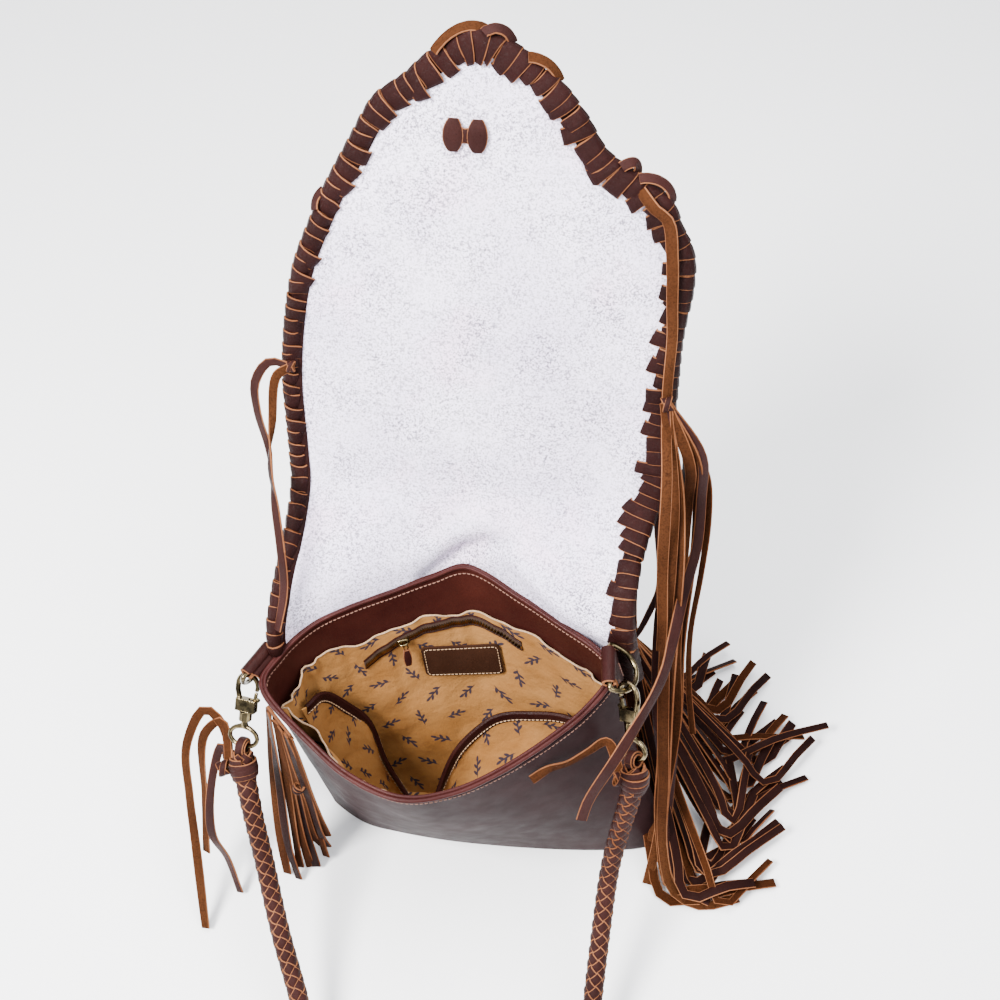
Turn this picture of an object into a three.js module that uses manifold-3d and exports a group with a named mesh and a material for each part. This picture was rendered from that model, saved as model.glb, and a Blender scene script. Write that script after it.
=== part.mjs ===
// Leather crossbody bag, open, with a laced flap, braided strap and leather fringe.
// Millimetres. Origin at the centre of the base on the floor, +X to the viewer's right, +Y to the
// back, +Z up.
import * as THREE from "three";
import Module from "manifold-3d";
import { mergeVertices } from "three/addons/utils/BufferGeometryUtils.js";

const wasm = await Module();
wasm.setup();
const { Manifold, Mesh: SolidMesh } = wasm;

// Clearances
const GAP = 0.3;
const SLACK = 0.7;

// Bag body
const BODY_WIDTH = 284;
const BODY_HEIGHT = 240;
const BASE_DEPTH = 44;
const BASE_ROUND = 3.5;
const MOUTH_WIDTH = 252;
const MOUTH_DEPTH = 176;
const MOUTH_SHIFT = -46;
const BELLY = 7;
const LEATHER = 2.2;
const FLOOR = 3;
const FACING = 38;
const FACING_WAVE = 3.5;
const LINING = 1;
const CORNER_GROWTH = 1.6;

// Flap
const FLAP_LENGTH = 403;
const FLAP_WIDTH = 268;
const FLAP_AXIS = -32;
const FLAP_LEATHER = 3;
const FLAP_LEAN = THREE.MathUtils.degToRad(18);
const FLAP_SET = 91;
const FLAP_VALLEY = 52;
const FLAP_FADE = 0.447 * FLAP_LENGTH;
const FLAP_RISE_OFF = 0.2235 * FLAP_LENGTH;
const FLAP_WING = 54;
const FLAP_WING_TURN = THREE.MathUtils.degToRad(-19);
const SEAM_RISE = 0.84;

// Laced edge
const LACING_PITCH = 40;
const LACING_REACH = 13;
const LACING_ROUND = 3.6;
const LACING_HALF = 4.4;
const LACING_DIP = 0.72;
const STITCH_WIDTH = 22;
const STITCH_HEIGHT = 16;
const STITCH_UP = 338;
const STITCH_X = -42;

// Pockets, zip and label inside
const POCKET_SHEET = 1.4;
const TRIM_HALF = 2.3;
const TRIM_ROUND = 2;
const TRIM_DEPTH = 8;
const ZIP_WIDTH = 9;
const ZIP_THICK = 1.8;
const SLIDER_LENGTH = 11;
const SLIDER_WIDTH = 8;
const SLIDER_THICK = 3;
const PULL_LENGTH = 26;
const PULL_WIDTH = 6;
const PULL_THICK = 1.6;
const LABEL_WIDTH = 52;
const LABEL_HEIGHT = 31;
const LABEL_THICK = 1.4;

// Metal fittings
const RING_WIRE = 2;
const RING_WIDTH = 36;
const RING_DEPTH = 24;
const TAB_WIDTH = 28;
const TAIL_WIDTH = 17;
const TAB_RADIUS = 5.3;
const TAB_TAIL = 26;
const CLAW_WIRE = 2.3;
const CLAW_RADIUS = 8;
const BLOCK_HALF = 8;
const BLOCK_TOP = -14;
const BLOCK_BOTTOM = -24;
const BLOCK_THICK = 6.4;
const PIVOT_X = 5;
const PIVOT_Z = -18;
const RIVET_RADIUS = 1.1;
const LEVER_THICK = 2.4;
const COLLAR_RADIUS = 5;
const COLLAR_LENGTH = 7.5;
const STEM_RADIUS = 2;
const HEAD_RADIUS = 3;
const EYE_WIRE = 1.75;
const EYE_HALF_WIDTH = 11.75;
const EYE_HALF_HEIGHT = 8.25;
const EYE_TOP = -36.5;
const EYE_STEPS = 11;
const LEFT_CLIP_LEAN = THREE.MathUtils.degToRad(42);
const RIGHT_CLIP_LEAN = THREE.MathUtils.degToRad(48);

// Strap, laces and fringe
const STRAP_RADIUS = 7.25;
const STRAP_STEPS = 42;
const STRAP_SIDES = 6;
const END_LOOP_RADIUS = 5;
const END_LOOP_WIRE = 2.3;
const KNOT_START = 5;
const KNOT_LENGTH = 15;
const KNOT_WALL = 2;
const LACE_WIDTH = 9;
const LACE_THICK = 2;
const CORD_WIDTH = 5;
const FRINGE_WIDTH = 9;
const FRINGE_THICK = 1.9;

// Stations round the wall, from the left corner over the front, the right corner and the back.
// mouth_x, mouth_y: shares of half the mouth. rim: share of the height. base_x, base_y: shares of
// half the base.
const WALL = [
  { mouth_x: -1.0, mouth_y: -0.18, rim: 0.94, base_x: -1.0, base_y: 0.1 },
  { mouth_x: -0.667, mouth_y: -0.61, rim: 0.92, base_x: -0.8, base_y: -0.62 },
  { mouth_x: -0.413, mouth_y: -0.85, rim: 0.9, base_x: -0.58, base_y: -0.85 },
  { mouth_x: -0.12, mouth_y: -0.98, rim: 0.895, base_x: -0.3, base_y: -0.98 },
  { mouth_x: 0.15, mouth_y: -0.89, rim: 0.895, base_x: 0.0, base_y: -1.0 },
  { mouth_x: 0.41, mouth_y: -0.69, rim: 0.915, base_x: 0.3, base_y: -0.95 },
  { mouth_x: 0.675, mouth_y: -0.42, rim: 0.955, base_x: 0.6, base_y: -0.8 },
  { mouth_x: 0.88, mouth_y: -0.16, rim: 1.0, base_x: 0.85, base_y: -0.55 },
  { mouth_x: 1.0, mouth_y: 0.11, rim: 1.04, base_x: 1.0, base_y: 0.0 },
  { mouth_x: 0.91, mouth_y: 0.32, rim: 1.04, base_x: 0.87, base_y: 0.6 },
  { mouth_x: 0.675, mouth_y: 0.55, rim: 1.04, base_x: 0.62, base_y: 0.85 },
  { mouth_x: 0.43, mouth_y: 0.77, rim: 1.045, base_x: 0.33, base_y: 0.97 },
  { mouth_x: 0.11, mouth_y: 1.0, rim: 1.06, base_x: 0.05, base_y: 1.0 },
  { mouth_x: -0.11, mouth_y: 0.875, rim: 1.055, base_x: -0.2, base_y: 1.0 },
  { mouth_x: -0.33, mouth_y: 0.72, rim: 1.04, base_x: -0.45, base_y: 0.92 },
  { mouth_x: -0.56, mouth_y: 0.57, rim: 1.02, base_x: -0.68, base_y: 0.8 },
  { mouth_x: -0.78, mouth_y: 0.4, rim: 0.99, base_x: -0.86, base_y: 0.6 },
  { mouth_x: -0.945, mouth_y: 0.14, rim: 0.955, base_x: -0.97, base_y: 0.35 },
];
const COLUMNS = 36;
const LEFT_TAB = { station: 17.4, out: TAB_RADIUS + 3.2, lift: 2.5, tilt: THREE.MathUtils.degToRad(12) };
const RIGHT_TAB = { station: 8.1, out: -2.1, lift: TAB_RADIUS + 3.1, tilt: THREE.MathUtils.degToRad(50) };

// Side edges of the flap above the rim. up: share of the flap's length. left, right: shares of
// half its width from the flap's axis.
const FLAP_SIDES = [
  { up: 0.138, left: -0.935, right: 0.94 },
  { up: 0.26, left: -0.955, right: 1.0 },
  { up: 0.4, left: -0.975, right: 1.0 },
  { up: 0.533, left: -0.935, right: 0.995 },
  { up: 0.61, left: -0.885, right: 1.015 },
  { up: 0.66, left: -0.83, right: 1.01 },
];
// Top edge of the flap from the left shoulder over the tip to the right shoulder.
const FLAP_TOP = [
  { across: -0.72, up: 0.745 },
  { across: -0.6, up: 0.82 },
  { across: -0.47, up: 0.895 },
  { across: -0.36, up: 0.922 },
  { across: -0.2, up: 0.97 },
  { across: -0.03, up: 1.0 },
  { across: 0.16, up: 0.975 },
  { across: 0.33, up: 0.932 },
  { across: 0.45, up: 0.885 },
  { across: 0.56, up: 0.83 },
  { across: 0.76, up: 0.787 },
  { across: 0.88, up: 0.757 },
  { across: 0.93, up: 0.72 },
  { across: 0.985, up: 0.69 },
];

// Hems of the two pockets. station and rise on the front wall, depth: share of the way from the
// front wall to the back wall.
const LEFT_HEM = [
  { station: 0.35, rise: 0.78, depth: 0.45 },
  { station: 0.75, rise: 0.74, depth: 0.8 },
  { station: 1.3, rise: 0.62, depth: 0.84 },
  { station: 1.75, rise: 0.5, depth: 0.8 },
  { station: 1.95, rise: 0.38, depth: 0.62 },
  { station: 2.3, rise: 0.3, depth: 0.38 },
  { station: 2.62, rise: 0.26, depth: 0.1 },
];
const RIGHT_HEM = [
  { station: 2.85, rise: 0.3, depth: 0.1 },
  { station: 3.2, rise: 0.36, depth: 0.44 },
  { station: 3.6, rise: 0.46, depth: 0.58 },
  { station: 4.4, rise: 0.56, depth: 0.66 },
  { station: 5.3, rise: 0.6, depth: 0.74 },
  { station: 6.2, rise: 0.62, depth: 0.76 },
  { station: 7.3, rise: 0.66, depth: 0.55 },
];
// Zip line on the back of the lining.
const ZIP_LINE = [
  { station: 15.1, rise: 0.72 },
  { station: 14.3, rise: 0.78 },
  { station: 13.4, rise: 0.81 },
  { station: 12.2, rise: 0.8 },
  { station: 11.1, rise: 0.78 },
  { station: 10.2, rise: 0.745 },
  { station: 9.75, rise: 0.72 },
];

// Braid on the floor and up to both rings. x, y: shares of half the body's width. z: share of its
// height, no lower than the braid's own radius.
const STRAP_ROUTE = [
  { x: -1.27, y: -0.5, z: 0.54 },
  { x: -1.2, y: -0.67, z: 0.43 },
  { x: -1.085, y: -0.96, z: 0.285 },
  { x: -0.94, y: -1.27, z: 0.165 },
  { x: -0.8, y: -1.63, z: 0.075 },
  { x: -0.7, y: -2.04, z: 0 },
  { x: -0.62, y: -2.46, z: 0 },
  { x: -0.465, y: -2.89, z: 0 },
  { x: -0.14, y: -3.15, z: 0 },
  { x: 0.24, y: -3.08, z: 0 },
  { x: 0.48, y: -2.76, z: 0 },
  { x: 0.565, y: -2.35, z: 0 },
  { x: 0.59, y: -1.93, z: 0 },
  { x: 0.6, y: -1.51, z: 0.075 },
  { x: 0.61, y: -1.12, z: 0.17 },
  { x: 0.625, y: -0.79, z: 0.29 },
  { x: 0.645, y: -0.52, z: 0.44 },
];

// Strips of the right fringe: where each leaves the head, as a share of the head's length, and
// where it ends on the floor, as shares of half the body's width, with its layer in the pile.
const RIGHT_FRINGE = [
  { along: 0.0, tip_x: 0.86, tip_y: 1.36, layer: 0 },
  { along: 0.06, tip_x: 1.13, tip_y: 1.2, layer: 1 },
  { along: 0.12, tip_x: 1.21, tip_y: 1.26, layer: 0 },
  { along: 0.24, tip_x: 1.5, tip_y: 1.17, layer: 2 },
  { along: 0.3, tip_x: 1.6, tip_y: 1.14, layer: 0 },
  { along: 0.36, tip_x: 1.55, tip_y: 0.88, layer: 2 },
  { along: 0.42, tip_x: 1.7, tip_y: 0.81, layer: 1 },
  { along: 0.48, tip_x: 1.95, tip_y: 0.79, layer: 0 },
  { along: 0.6, tip_x: 1.83, tip_y: 0.47, layer: 1 },
  { along: 0.67, tip_x: 1.62, tip_y: 0.24, layer: 2 },
  { along: 0.74, tip_x: 1.66, tip_y: 0.13, layer: 0 },
  { along: 0.82, tip_x: 1.68, tip_y: 0.02, layer: 1 },
  { along: 0.9, tip_x: 1.6, tip_y: -0.12, layer: 2 },
  { along: 1.0, tip_x: 1.46, tip_y: -0.2, layer: 1 },
];

// Crests of the flap above the rim at the columns that carry laces.
const LEFT_CREST = 0.744 * FLAP_LENGTH;
const FRINGE_CREST = 0.707 * FLAP_LENGTH;
const SHOULDER_CREST = 0.715 * FLAP_LENGTH;
const LEFT_TIE = 0.412 * FLAP_LENGTH;
const BUNDLE_TIE = 0.417 * FLAP_LENGTH;
const FRINGE_TOP = 0.372 * FLAP_LENGTH;
const FRINGE_LOW = 0.298 * FLAP_LENGTH;
const LONG_TIES = [0.69, 0.608, 0.471, 0.323];

// Free ends of lace. x, y: shares of half the body's width. z: share of its height.
const BUNDLE_ROUTES = [
  {
    width: LACE_WIDTH,
    end: "floor",
    points: [
      { x: 0.222, y: 0.73, z: 1.4 },
      { x: 0.242, y: 0.56, z: 1.245 },
      { x: 0.262, y: 0.39, z: 0.945 },
      { x: 0.297, y: 0.2, z: 0.7 },
      { x: 0.347, y: 0.02, z: 0.43 },
      { x: 0.392, y: -0.17, z: 0.16 },
      { x: 0.477, y: -0.34, z: 0.03 },
      { x: 0.637, y: -0.4, z: 0.01 },
      { x: 0.857, y: -0.33, z: 0.01 },
    ],
  },
  {
    width: LACE_WIDTH,
    end: "hang",
    points: [
      { x: 0.327, y: 0.86, z: 1.52 },
      { x: 0.367, y: 0.84, z: 1.33 },
      { x: 0.372, y: 0.7, z: 1.19 },
      { x: 0.327, y: 0.52, z: 1.09 },
      { x: 0.287, y: 0.28, z: 1.05 },
      { x: 0.237, y: 0.05, z: 1.04 },
      { x: 0.057, y: -0.33, z: 1.0 },
      { x: -0.073, y: -0.45, z: 0.81 },
      { x: -0.098, y: -0.5, z: 0.74 },
    ],
  },
  {
    width: CORD_WIDTH,
    end: "hang",
    points: [
      { x: 0.307, y: 0.86, z: 1.52 },
      { x: 0.397, y: 0.92, z: 1.35 },
      { x: 0.427, y: 0.84, z: 1.2 },
      { x: 0.422, y: 0.7, z: 1.05 },
      { x: 0.407, y: 0.55, z: 0.85 },
      { x: 0.437, y: 0.42, z: 0.65 },
      { x: 0.497, y: 0.3, z: 0.46 },
    ],
  },
  {
    width: LACE_WIDTH,
    end: "floor",
    points: [
      { x: 0.277, y: 0.83, z: 1.5 },
      { x: 0.307, y: 0.86, z: 1.28 },
      { x: 0.322, y: 0.72, z: 1.05 },
      { x: 0.337, y: 0.5, z: 0.8 },
      { x: 0.387, y: 0.28, z: 0.55 },
      { x: 0.377, y: 0.06, z: 0.28 },
      { x: 0.357, y: -0.15, z: 0.1 },
      { x: 0.327, y: -0.3, z: 0.01 },
    ],
  },
];
const LONG_LACE = [
  { x: 0.192, y: 0.69, z: 1.345 },
  { x: 0.212, y: 0.535, z: 1.21 },
  { x: 0.232, y: 0.41, z: 1.09 },
  { x: 0.242, y: 0.35, z: 1.0 },
];
const LEFT_LACES = [
  [
    { x: -1.23, y: 0.985, z: 1.69 },
    { x: -1.295, y: 0.92, z: 1.645 },
    { x: -1.29, y: 0.85, z: 1.56 },
    { x: -1.245, y: 0.775, z: 1.44 },
    { x: -1.17, y: 0.5, z: 1.4 },
    { x: -1.13, y: 0.35, z: 1.3 },
    { x: -1.12, y: 0.25, z: 1.17 },
    { x: -1.15, y: 0.12, z: 1.06 },
  ],
  [
    { x: -1.2, y: 0.96, z: 1.645 },
    { x: -1.225, y: 0.85, z: 1.52 },
    { x: -1.22, y: 0.68, z: 1.44 },
    { x: -1.16, y: 0.5, z: 1.4 },
    { x: -1.115, y: 0.34, z: 1.29 },
  ],
];
const LEFT_KNOT = [
  [
    { x: -1.46, y: -0.15, z: 0.7 },
    { x: -1.57, y: -0.08, z: 0.74 },
    { x: -1.68, y: -0.2, z: 0.62 },
    { x: -1.68, y: -0.35, z: 0.45 },
    { x: -1.67, y: -0.5, z: 0.24 },
    { x: -1.6, y: -0.83, z: 0.02 },
  ],
  [
    { x: -1.48, y: -0.2, z: 0.64 },
    { x: -1.55, y: -0.32, z: 0.5 },
    { x: -1.57, y: -0.46, z: 0.3 },
    { x: -1.51, y: -0.5, z: 0.16 },
    { x: -1.45, y: -0.6, z: 0.02 },
  ],
  [
    { x: -1.47, y: -0.12, z: 0.72 },
    { x: -1.58, y: -0.16, z: 0.66 },
    { x: -1.6, y: -0.34, z: 0.44 },
    { x: -1.62, y: -0.5, z: 0.2 },
  ],
];
const COLLAR_REACH = 12.5;
const COLLAR_RIGHT_REACH = 10.4;
// Tail of the right knot along the front wall.
const RIGHT_TAIL = [
  { station: 6.95, rise: 0.8, off: 6 },
  { station: 6.5, rise: 0.77, off: 4 },
  { station: 5.95, rise: 0.74, off: 3.5 },
  { station: 5.5, rise: 0.74, off: 3 },
];
// Left fringe: along its head, then down to the floor.
const LEFT_HEAD = { station: 0.3, rise: 0.86 };
const LEFT_HEAD_LENGTH = 30;
const LEFT_FRINGE = [
  { along: -0.42, points: [{ x: -1.215, y: -0.22, z: 0.5 }, { x: -1.175, y: -0.42, z: 0.17 }, { x: -1.13, y: -0.48, z: 0.01 }] },
  { along: -0.1, points: [{ x: -1.12, y: -0.27, z: 0.46 }, { x: -1.09, y: -0.35, z: 0.17 }, { x: -1.075, y: -0.4, z: 0.01 }] },
  { along: 0.2, points: [{ x: -1.075, y: -0.27, z: 0.4 }, { x: -1.05, y: -0.29, z: 0.16 }, { x: -1.03, y: -0.27, z: 0.01 }] },
  { along: 0.45, points: [{ x: -1.02, y: -0.3, z: 0.45 }, { x: -0.99, y: -0.3, z: 0.2 }] },
];

const material = (colour, roughness, metalness = 0) =>
  new THREE.MeshStandardMaterial({ color: colour, roughness, metalness });
const BODY_LEATHER = material(0x4a3236, 0.55);
const SUEDE = material(0xcfcbd6, 0.95);
const LINING_CLOTH = material(0xc9965c, 0.9);
const LACE_LEATHER = material(0x6b4632, 0.7);
const FRINGE_LEATHER = material(0x5a3c38, 0.75);
const BRAID_LEATHER = material(0x55392f, 0.65);
const TRIM_LEATHER = material(0x4d3330, 0.6);
const LABEL_LEATHER = material(0x6a4632, 0.7);
const ZIP_TAPE = material(0x5b4632, 0.8);
const OLD_BRASS = material(0x8a7a58, 0.4, 0.9);

const group = new THREE.Group();
group.name = "leather_crossbody_bag";

function add(name, geometry, surface) {
  const mesh = new THREE.Mesh(geometry, surface);
  mesh.name = name;
  group.add(mesh);
}

const lerp = (a, b, t) => a + (b - a) * t;
const at = ({ x, y, z }) =>
  new THREE.Vector3((x * BODY_WIDTH) / 2, (y * BODY_WIDTH) / 2, z * BODY_HEIGHT);

// The same, with x counted from the mouth's right end.
const besideMouth = (row) => {
  const point = at(row);
  return point.setX(point.x + MOUTH_SHIFT + MOUTH_WIDTH / 2);
};

// Closed bodies from rings and sheets

function signedVolume(points, triangles) {
  let sum = 0;
  for (let i = 0; i < triangles.length; i += 3) {
    const [a, b, c] = [0, 1, 2].map((k) => points[triangles[i + k]]);
    sum += a.dot(new THREE.Vector3().crossVectors(b, c));
  }
  return sum / 6;
}

function body(points, triangles) {
  if (signedVolume(points, triangles) < 0) {
    triangles.reverse();
  }
  const geometry = new THREE.BufferGeometry().setFromPoints(points);
  geometry.setIndex(triangles);
  geometry.computeVertexNormals();
  return geometry;
}

// A closed skin through rings of equal size. Each quad is split on the diagonal that climbs along
// the ring, so that nested skins are faceted alike.
function skin(rings, { wrap = false, cap = null } = {}) {
  const size = rings[0].length;
  const points = rings.flat();
  const triangles = [];
  const last = wrap ? rings.length : rings.length - 1;
  for (let j = 0; j < last; j += 1) {
    const low = j * size;
    const high = ((j + 1) % rings.length) * size;
    for (let i = 0; i < size; i += 1) {
      const next = (i + 1) % size;
      const rising = points[high + i].z >= points[low + i].z;
      if (rising) {
        triangles.push(low + i, low + next, high + next, low + i, high + next, high + i);
      } else {
        triangles.push(low + i, low + next, high + i, low + next, high + next, high + i);
      }
    }
  }
  if (!wrap) {
    for (const [start, turn] of [[0, true], [(rings.length - 1) * size, false]]) {
      const faces = cap ?? fan(points, start, size);
      for (const [a, b, c] of faces) {
        const face = cap ? [start + a, start + b, start + c] : [a, b, c];
        triangles.push(...(turn ? [face[0], face[2], face[1]] : face));
      }
    }
  }
  return body(points, triangles);
}

function fan(points, start, size) {
  const middle = new THREE.Vector3();
  for (let i = 0; i < size; i += 1) {
    middle.add(points[start + i]);
  }
  points.push(middle.divideScalar(size));
  const centre = points.length - 1;
  return Array.from({ length: size }, (_, i) => [centre, start + i, start + ((i + 1) % size)]);
}

function sheet(front, back) {
  const rows = front.length;
  const size = front[0].length;
  const points = [...front.flat(), ...back.flat()];
  const far = rows * size;
  const triangles = [];
  const quad = (a, b, c, d) => triangles.push(a, b, c, a, c, d);
  for (let j = 0; j < rows - 1; j += 1) {
    for (let i = 0; i < size - 1; i += 1) {
      const a = j * size + i;
      quad(a + 1, a + size + 1, a + size, a);
      quad(far + a + size, far + a + size + 1, far + a + 1, far + a);
    }
    const left = j * size;
    const right = left + size - 1;
    quad(left, left + size, far + left + size, far + left);
    quad(right + size, right, far + right, far + right + size);
  }
  for (let i = 0; i < size - 1; i += 1) {
    const top = (rows - 1) * size + i;
    quad(i + 1, i, far + i, far + i + 1);
    quad(top, top + 1, far + top + 1, far + top);
  }
  return body(points, triangles);
}

function tangentAt(route, index, closed) {
  const count = route.length;
  const before = closed ? (index + count - 1) % count : Math.max(0, index - 1);
  const after = closed ? (index + 1) % count : Math.min(count - 1, index + 1);
  return route[after].clone().sub(route[before]).normalize();
}

// Triangles that close the end of a swept section, turned the way the section runs.
function capFaces(section) {
  const outline = section.map(([a, b]) => new THREE.Vector2(a, b));
  const faces = THREE.ShapeUtils.triangulateShape(outline, []);
  return THREE.ShapeUtils.isClockWise(outline) ? faces.map(([a, b, c]) => [a, c, b]) : faces;
}

// A section swept along sampled points. face gives the direction that the section's second
// coordinate points in, and grow scales the section at each point.
function sweep(route, section, face, { closed = false, grow = () => 1 } = {}) {
  const rings = route.map((point, index) => {
    const tangent = tangentAt(route, index, closed);
    const up = face(index / (route.length - 1), index).clone();
    up.addScaledVector(tangent, -up.dot(tangent)).normalize();
    const side = new THREE.Vector3().crossVectors(tangent, up);
    const size = grow(index / (route.length - 1), index);
    return section.map(([a, b]) =>
      point.clone().addScaledVector(side, a * size).addScaledVector(up, b * size));
  });
  return skin(rings, { wrap: closed, cap: capFaces(section) });
}

function circle(radius, sides) {
  return Array.from({ length: sides }, (_, i) => {
    const angle = (i / sides) * 2 * Math.PI;
    return [radius * Math.cos(angle), radius * Math.sin(angle)];
  });
}

function flatSection(width, thick) {
  return [[-width / 2, -thick / 2], [width / 2, -thick / 2], [width / 2, thick / 2], [-width / 2, thick / 2]];
}

function curve(points, steps, closed = false) {
  return new THREE.CatmullRomCurve3(points, closed, "centripetal").getSpacedPoints(steps);
}

function ribbon(points, width, thick, { from, to = from, steps = 12 }) {
  const face = (share) => from.clone().lerp(to, share);
  return sweep(curve(points, steps), flatSection(width, thick), face);
}

// Joining and cutting

function toSolid(geometry) {
  const plain = geometry.clone();
  plain.deleteAttribute("normal");
  plain.deleteAttribute("uv");
  const merged = mergeVertices(plain, 1e-4);
  const mesh = new SolidMesh({
    numProp: 3,
    vertProperties: new Float32Array(merged.attributes.position.array),
    triVerts: new Uint32Array(merged.index.array),
  });
  return new Manifold(mesh);
}

function toGeometry(solid) {
  const mesh = solid.getMesh();
  const geometry = new THREE.BufferGeometry();
  geometry.setAttribute("position", new THREE.BufferAttribute(new Float32Array(mesh.vertProperties), 3));
  geometry.setIndex(Array.from(mesh.triVerts));
  geometry.computeVertexNormals();
  return geometry;
}

function join(pieces, cuts = []) {
  let solid = Manifold.union(pieces.map(toSolid));
  if (cuts.length > 0) {
    solid = solid.subtract(Manifold.union(cuts.map(toSolid)));
  }
  return toGeometry(solid);
}

function box(width, depth, height, x, y, z) {
  return new THREE.BoxGeometry(width, depth, height).translate(x, y, z);
}

function rod(radius, length, sides, axis, centre) {
  const geometry = new THREE.CylinderGeometry(radius, radius, length, sides);
  const turn = new THREE.Quaternion().setFromUnitVectors(new THREE.Vector3(0, 1, 0), axis);
  return geometry.applyQuaternion(turn).translate(centre.x, centre.y, centre.z);
}

const X = new THREE.Vector3(1, 0, 0);
const Y = new THREE.Vector3(0, 1, 0);
const Z = new THREE.Vector3(0, 0, 1);
const FRONT = new THREE.Vector3(0, -1, 0);
const FLAP_FRONT = new THREE.Vector3(0, -Math.cos(FLAP_LEAN), Math.sin(FLAP_LEAN));

// Wall of the bag

function around(column, station) {
  const count = WALL.length;
  const wrapped = ((station % count) + count) % count;
  const first = Math.floor(wrapped);
  const t = wrapped - first;
  const [a, b, c, d] = [-1, 0, 1, 2].map((k) => WALL[(first + k + count) % count][column]);
  return b + 0.5 * t * (c - a + t * (2 * a - 5 * b + 4 * c - d + t * (3 * (b - c) + d - a)));
}

function wallPoint(station, rise, inset = 0) {
  const mouthX = MOUTH_SHIFT + around("mouth_x", station) * (MOUTH_WIDTH / 2 - inset);
  const mouthY = around("mouth_y", station) * (MOUTH_DEPTH / 2 - inset);
  const baseX = around("base_x", station) * (BODY_WIDTH / 2 - inset * CORNER_GROWTH);
  const baseY = around("base_y", station) * (BASE_DEPTH / 2 - inset);
  const swell = BELLY * Math.sin(Math.PI * THREE.MathUtils.clamp(rise, 0, 1));
  return new THREE.Vector3(
    lerp(baseX, mouthX, rise),
    lerp(baseY, mouthY, rise) + swell * around("base_y", station),
    BODY_HEIGHT * rise * (1 + (around("rim", station) - 1) * rise),
  );
}

// The same wall as it is faceted between its columns.
function facetPoint(station, rise, inset) {
  const step = WALL.length / COLUMNS;
  const low = Math.floor(station / step) * step;
  return wallPoint(low, rise, inset).lerp(wallPoint(low + step, rise, inset), (station - low) / step);
}

function wallFrame(station, rise) {
  const step = 0.01;
  const across = wallPoint(station + step, rise).sub(wallPoint(station - step, rise)).normalize();
  const upward = wallPoint(station, rise).sub(wallPoint(station, rise - step)).normalize();
  const outward = new THREE.Vector3().crossVectors(across, upward).normalize();
  return { across, upward, outward };
}

const columnStation = (index) => (index * WALL.length) / COLUMNS;

function wallRing(rise, inset) {
  return Array.from({ length: COLUMNS }, (_, i) => {
    const level = typeof rise === "function" ? rise(columnStation(i)) : rise;
    return wallPoint(columnStation(i), level, inset);
  });
}

function flatRing(height, inset) {
  return wallRing(height / BODY_HEIGHT, inset).map((point) => point.setZ(height));
}

const LINING_OUT = LEATHER + GAP * 1.5;
const LINING_IN = LINING_OUT + LINING;
const LINING_FACE = LINING_IN + SLACK;
const WALL_RISES = [0.15, 0.32, 0.5, 0.68, 0.84, 0.93, 1];

function bodyShell() {
  const foot = wallRing(0, BASE_ROUND).map((point) => point.setZ(0));
  const outside = WALL_RISES.map((rise) => wallRing(rise, 0));
  const inside = [...WALL_RISES].reverse().map((rise) => wallRing(rise, LEATHER));
  return skin([foot, flatRing(BASE_ROUND, 0), ...outside, ...inside, flatRing(FLOOR, LEATHER)]);
}

function liningTop(station) {
  const wave = FACING_WAVE * Math.sin(station * 2.2) + (FACING_WAVE / 2) * Math.sin(station * 5.1);
  return 1 - (FACING + wave) / BODY_HEIGHT;
}

function lining() {
  const rises = [0.15, 0.32, 0.5, 0.68];
  const outside = rises.map((rise) => wallRing(rise, LINING_OUT));
  const inside = [...rises].reverse().map((rise) => wallRing(rise, LINING_IN));
  const low = FLOOR + GAP;
  return skin([
    flatRing(low, LINING_OUT),
    ...outside,
    wallRing(liningTop, LINING_OUT),
    wallRing(liningTop, LINING_IN),
    ...inside,
    flatRing(low + LINING, LINING_IN),
  ]);
}

// Pockets on the front of the lining

function opposite(station) {
  return 17.2 - 1.15 * station;
}

function insidePoint(station, rise, depth) {
  const near = facetPoint(station, rise, LINING_FACE + POCKET_SHEET / 2);
  const far = facetPoint(opposite(station), rise, LINING_FACE + POCKET_SHEET / 2);
  return near.lerp(far, depth);
}

function hemCurve(hem, columns) {
  const rows = hem.map(({ station, rise, depth }) => new THREE.Vector3(station, rise, depth));
  return curve(rows, columns);
}

const POCKET_COLUMNS = 9;
const POCKET_ROWS = 4;
const POCKET_FOOT = 0.05;

function pocketGrid(hem) {
  const line = hemCurve(hem, POCKET_COLUMNS);
  return Array.from({ length: POCKET_ROWS }, (_, j) => {
    const climb = j / (POCKET_ROWS - 1);
    return line.map((row) => {
      const depth = row.z * Math.sin((climb * Math.PI) / 2) ** 1.5;
      return insidePoint(row.x, lerp(POCKET_FOOT, row.y, climb), depth);
    });
  });
}

function gridNormals(grid) {
  return grid.map((row, j) => row.map((_, i) => {
    const right = row[Math.min(i + 1, row.length - 1)].clone().sub(row[Math.max(i - 1, 0)]);
    const above = grid[Math.min(j + 1, grid.length - 1)][i].clone();
    above.sub(grid[Math.max(j - 1, 0)][i]);
    return right.cross(above).normalize();
  }));
}

function thicken(grid, normals, thick) {
  const shifted = (amount) => grid.map((row, j) => row.map((point, i) =>
    point.clone().addScaledVector(normals[j][i], amount)));
  return sheet(shifted(thick / 2), shifted(-thick / 2));
}

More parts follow.
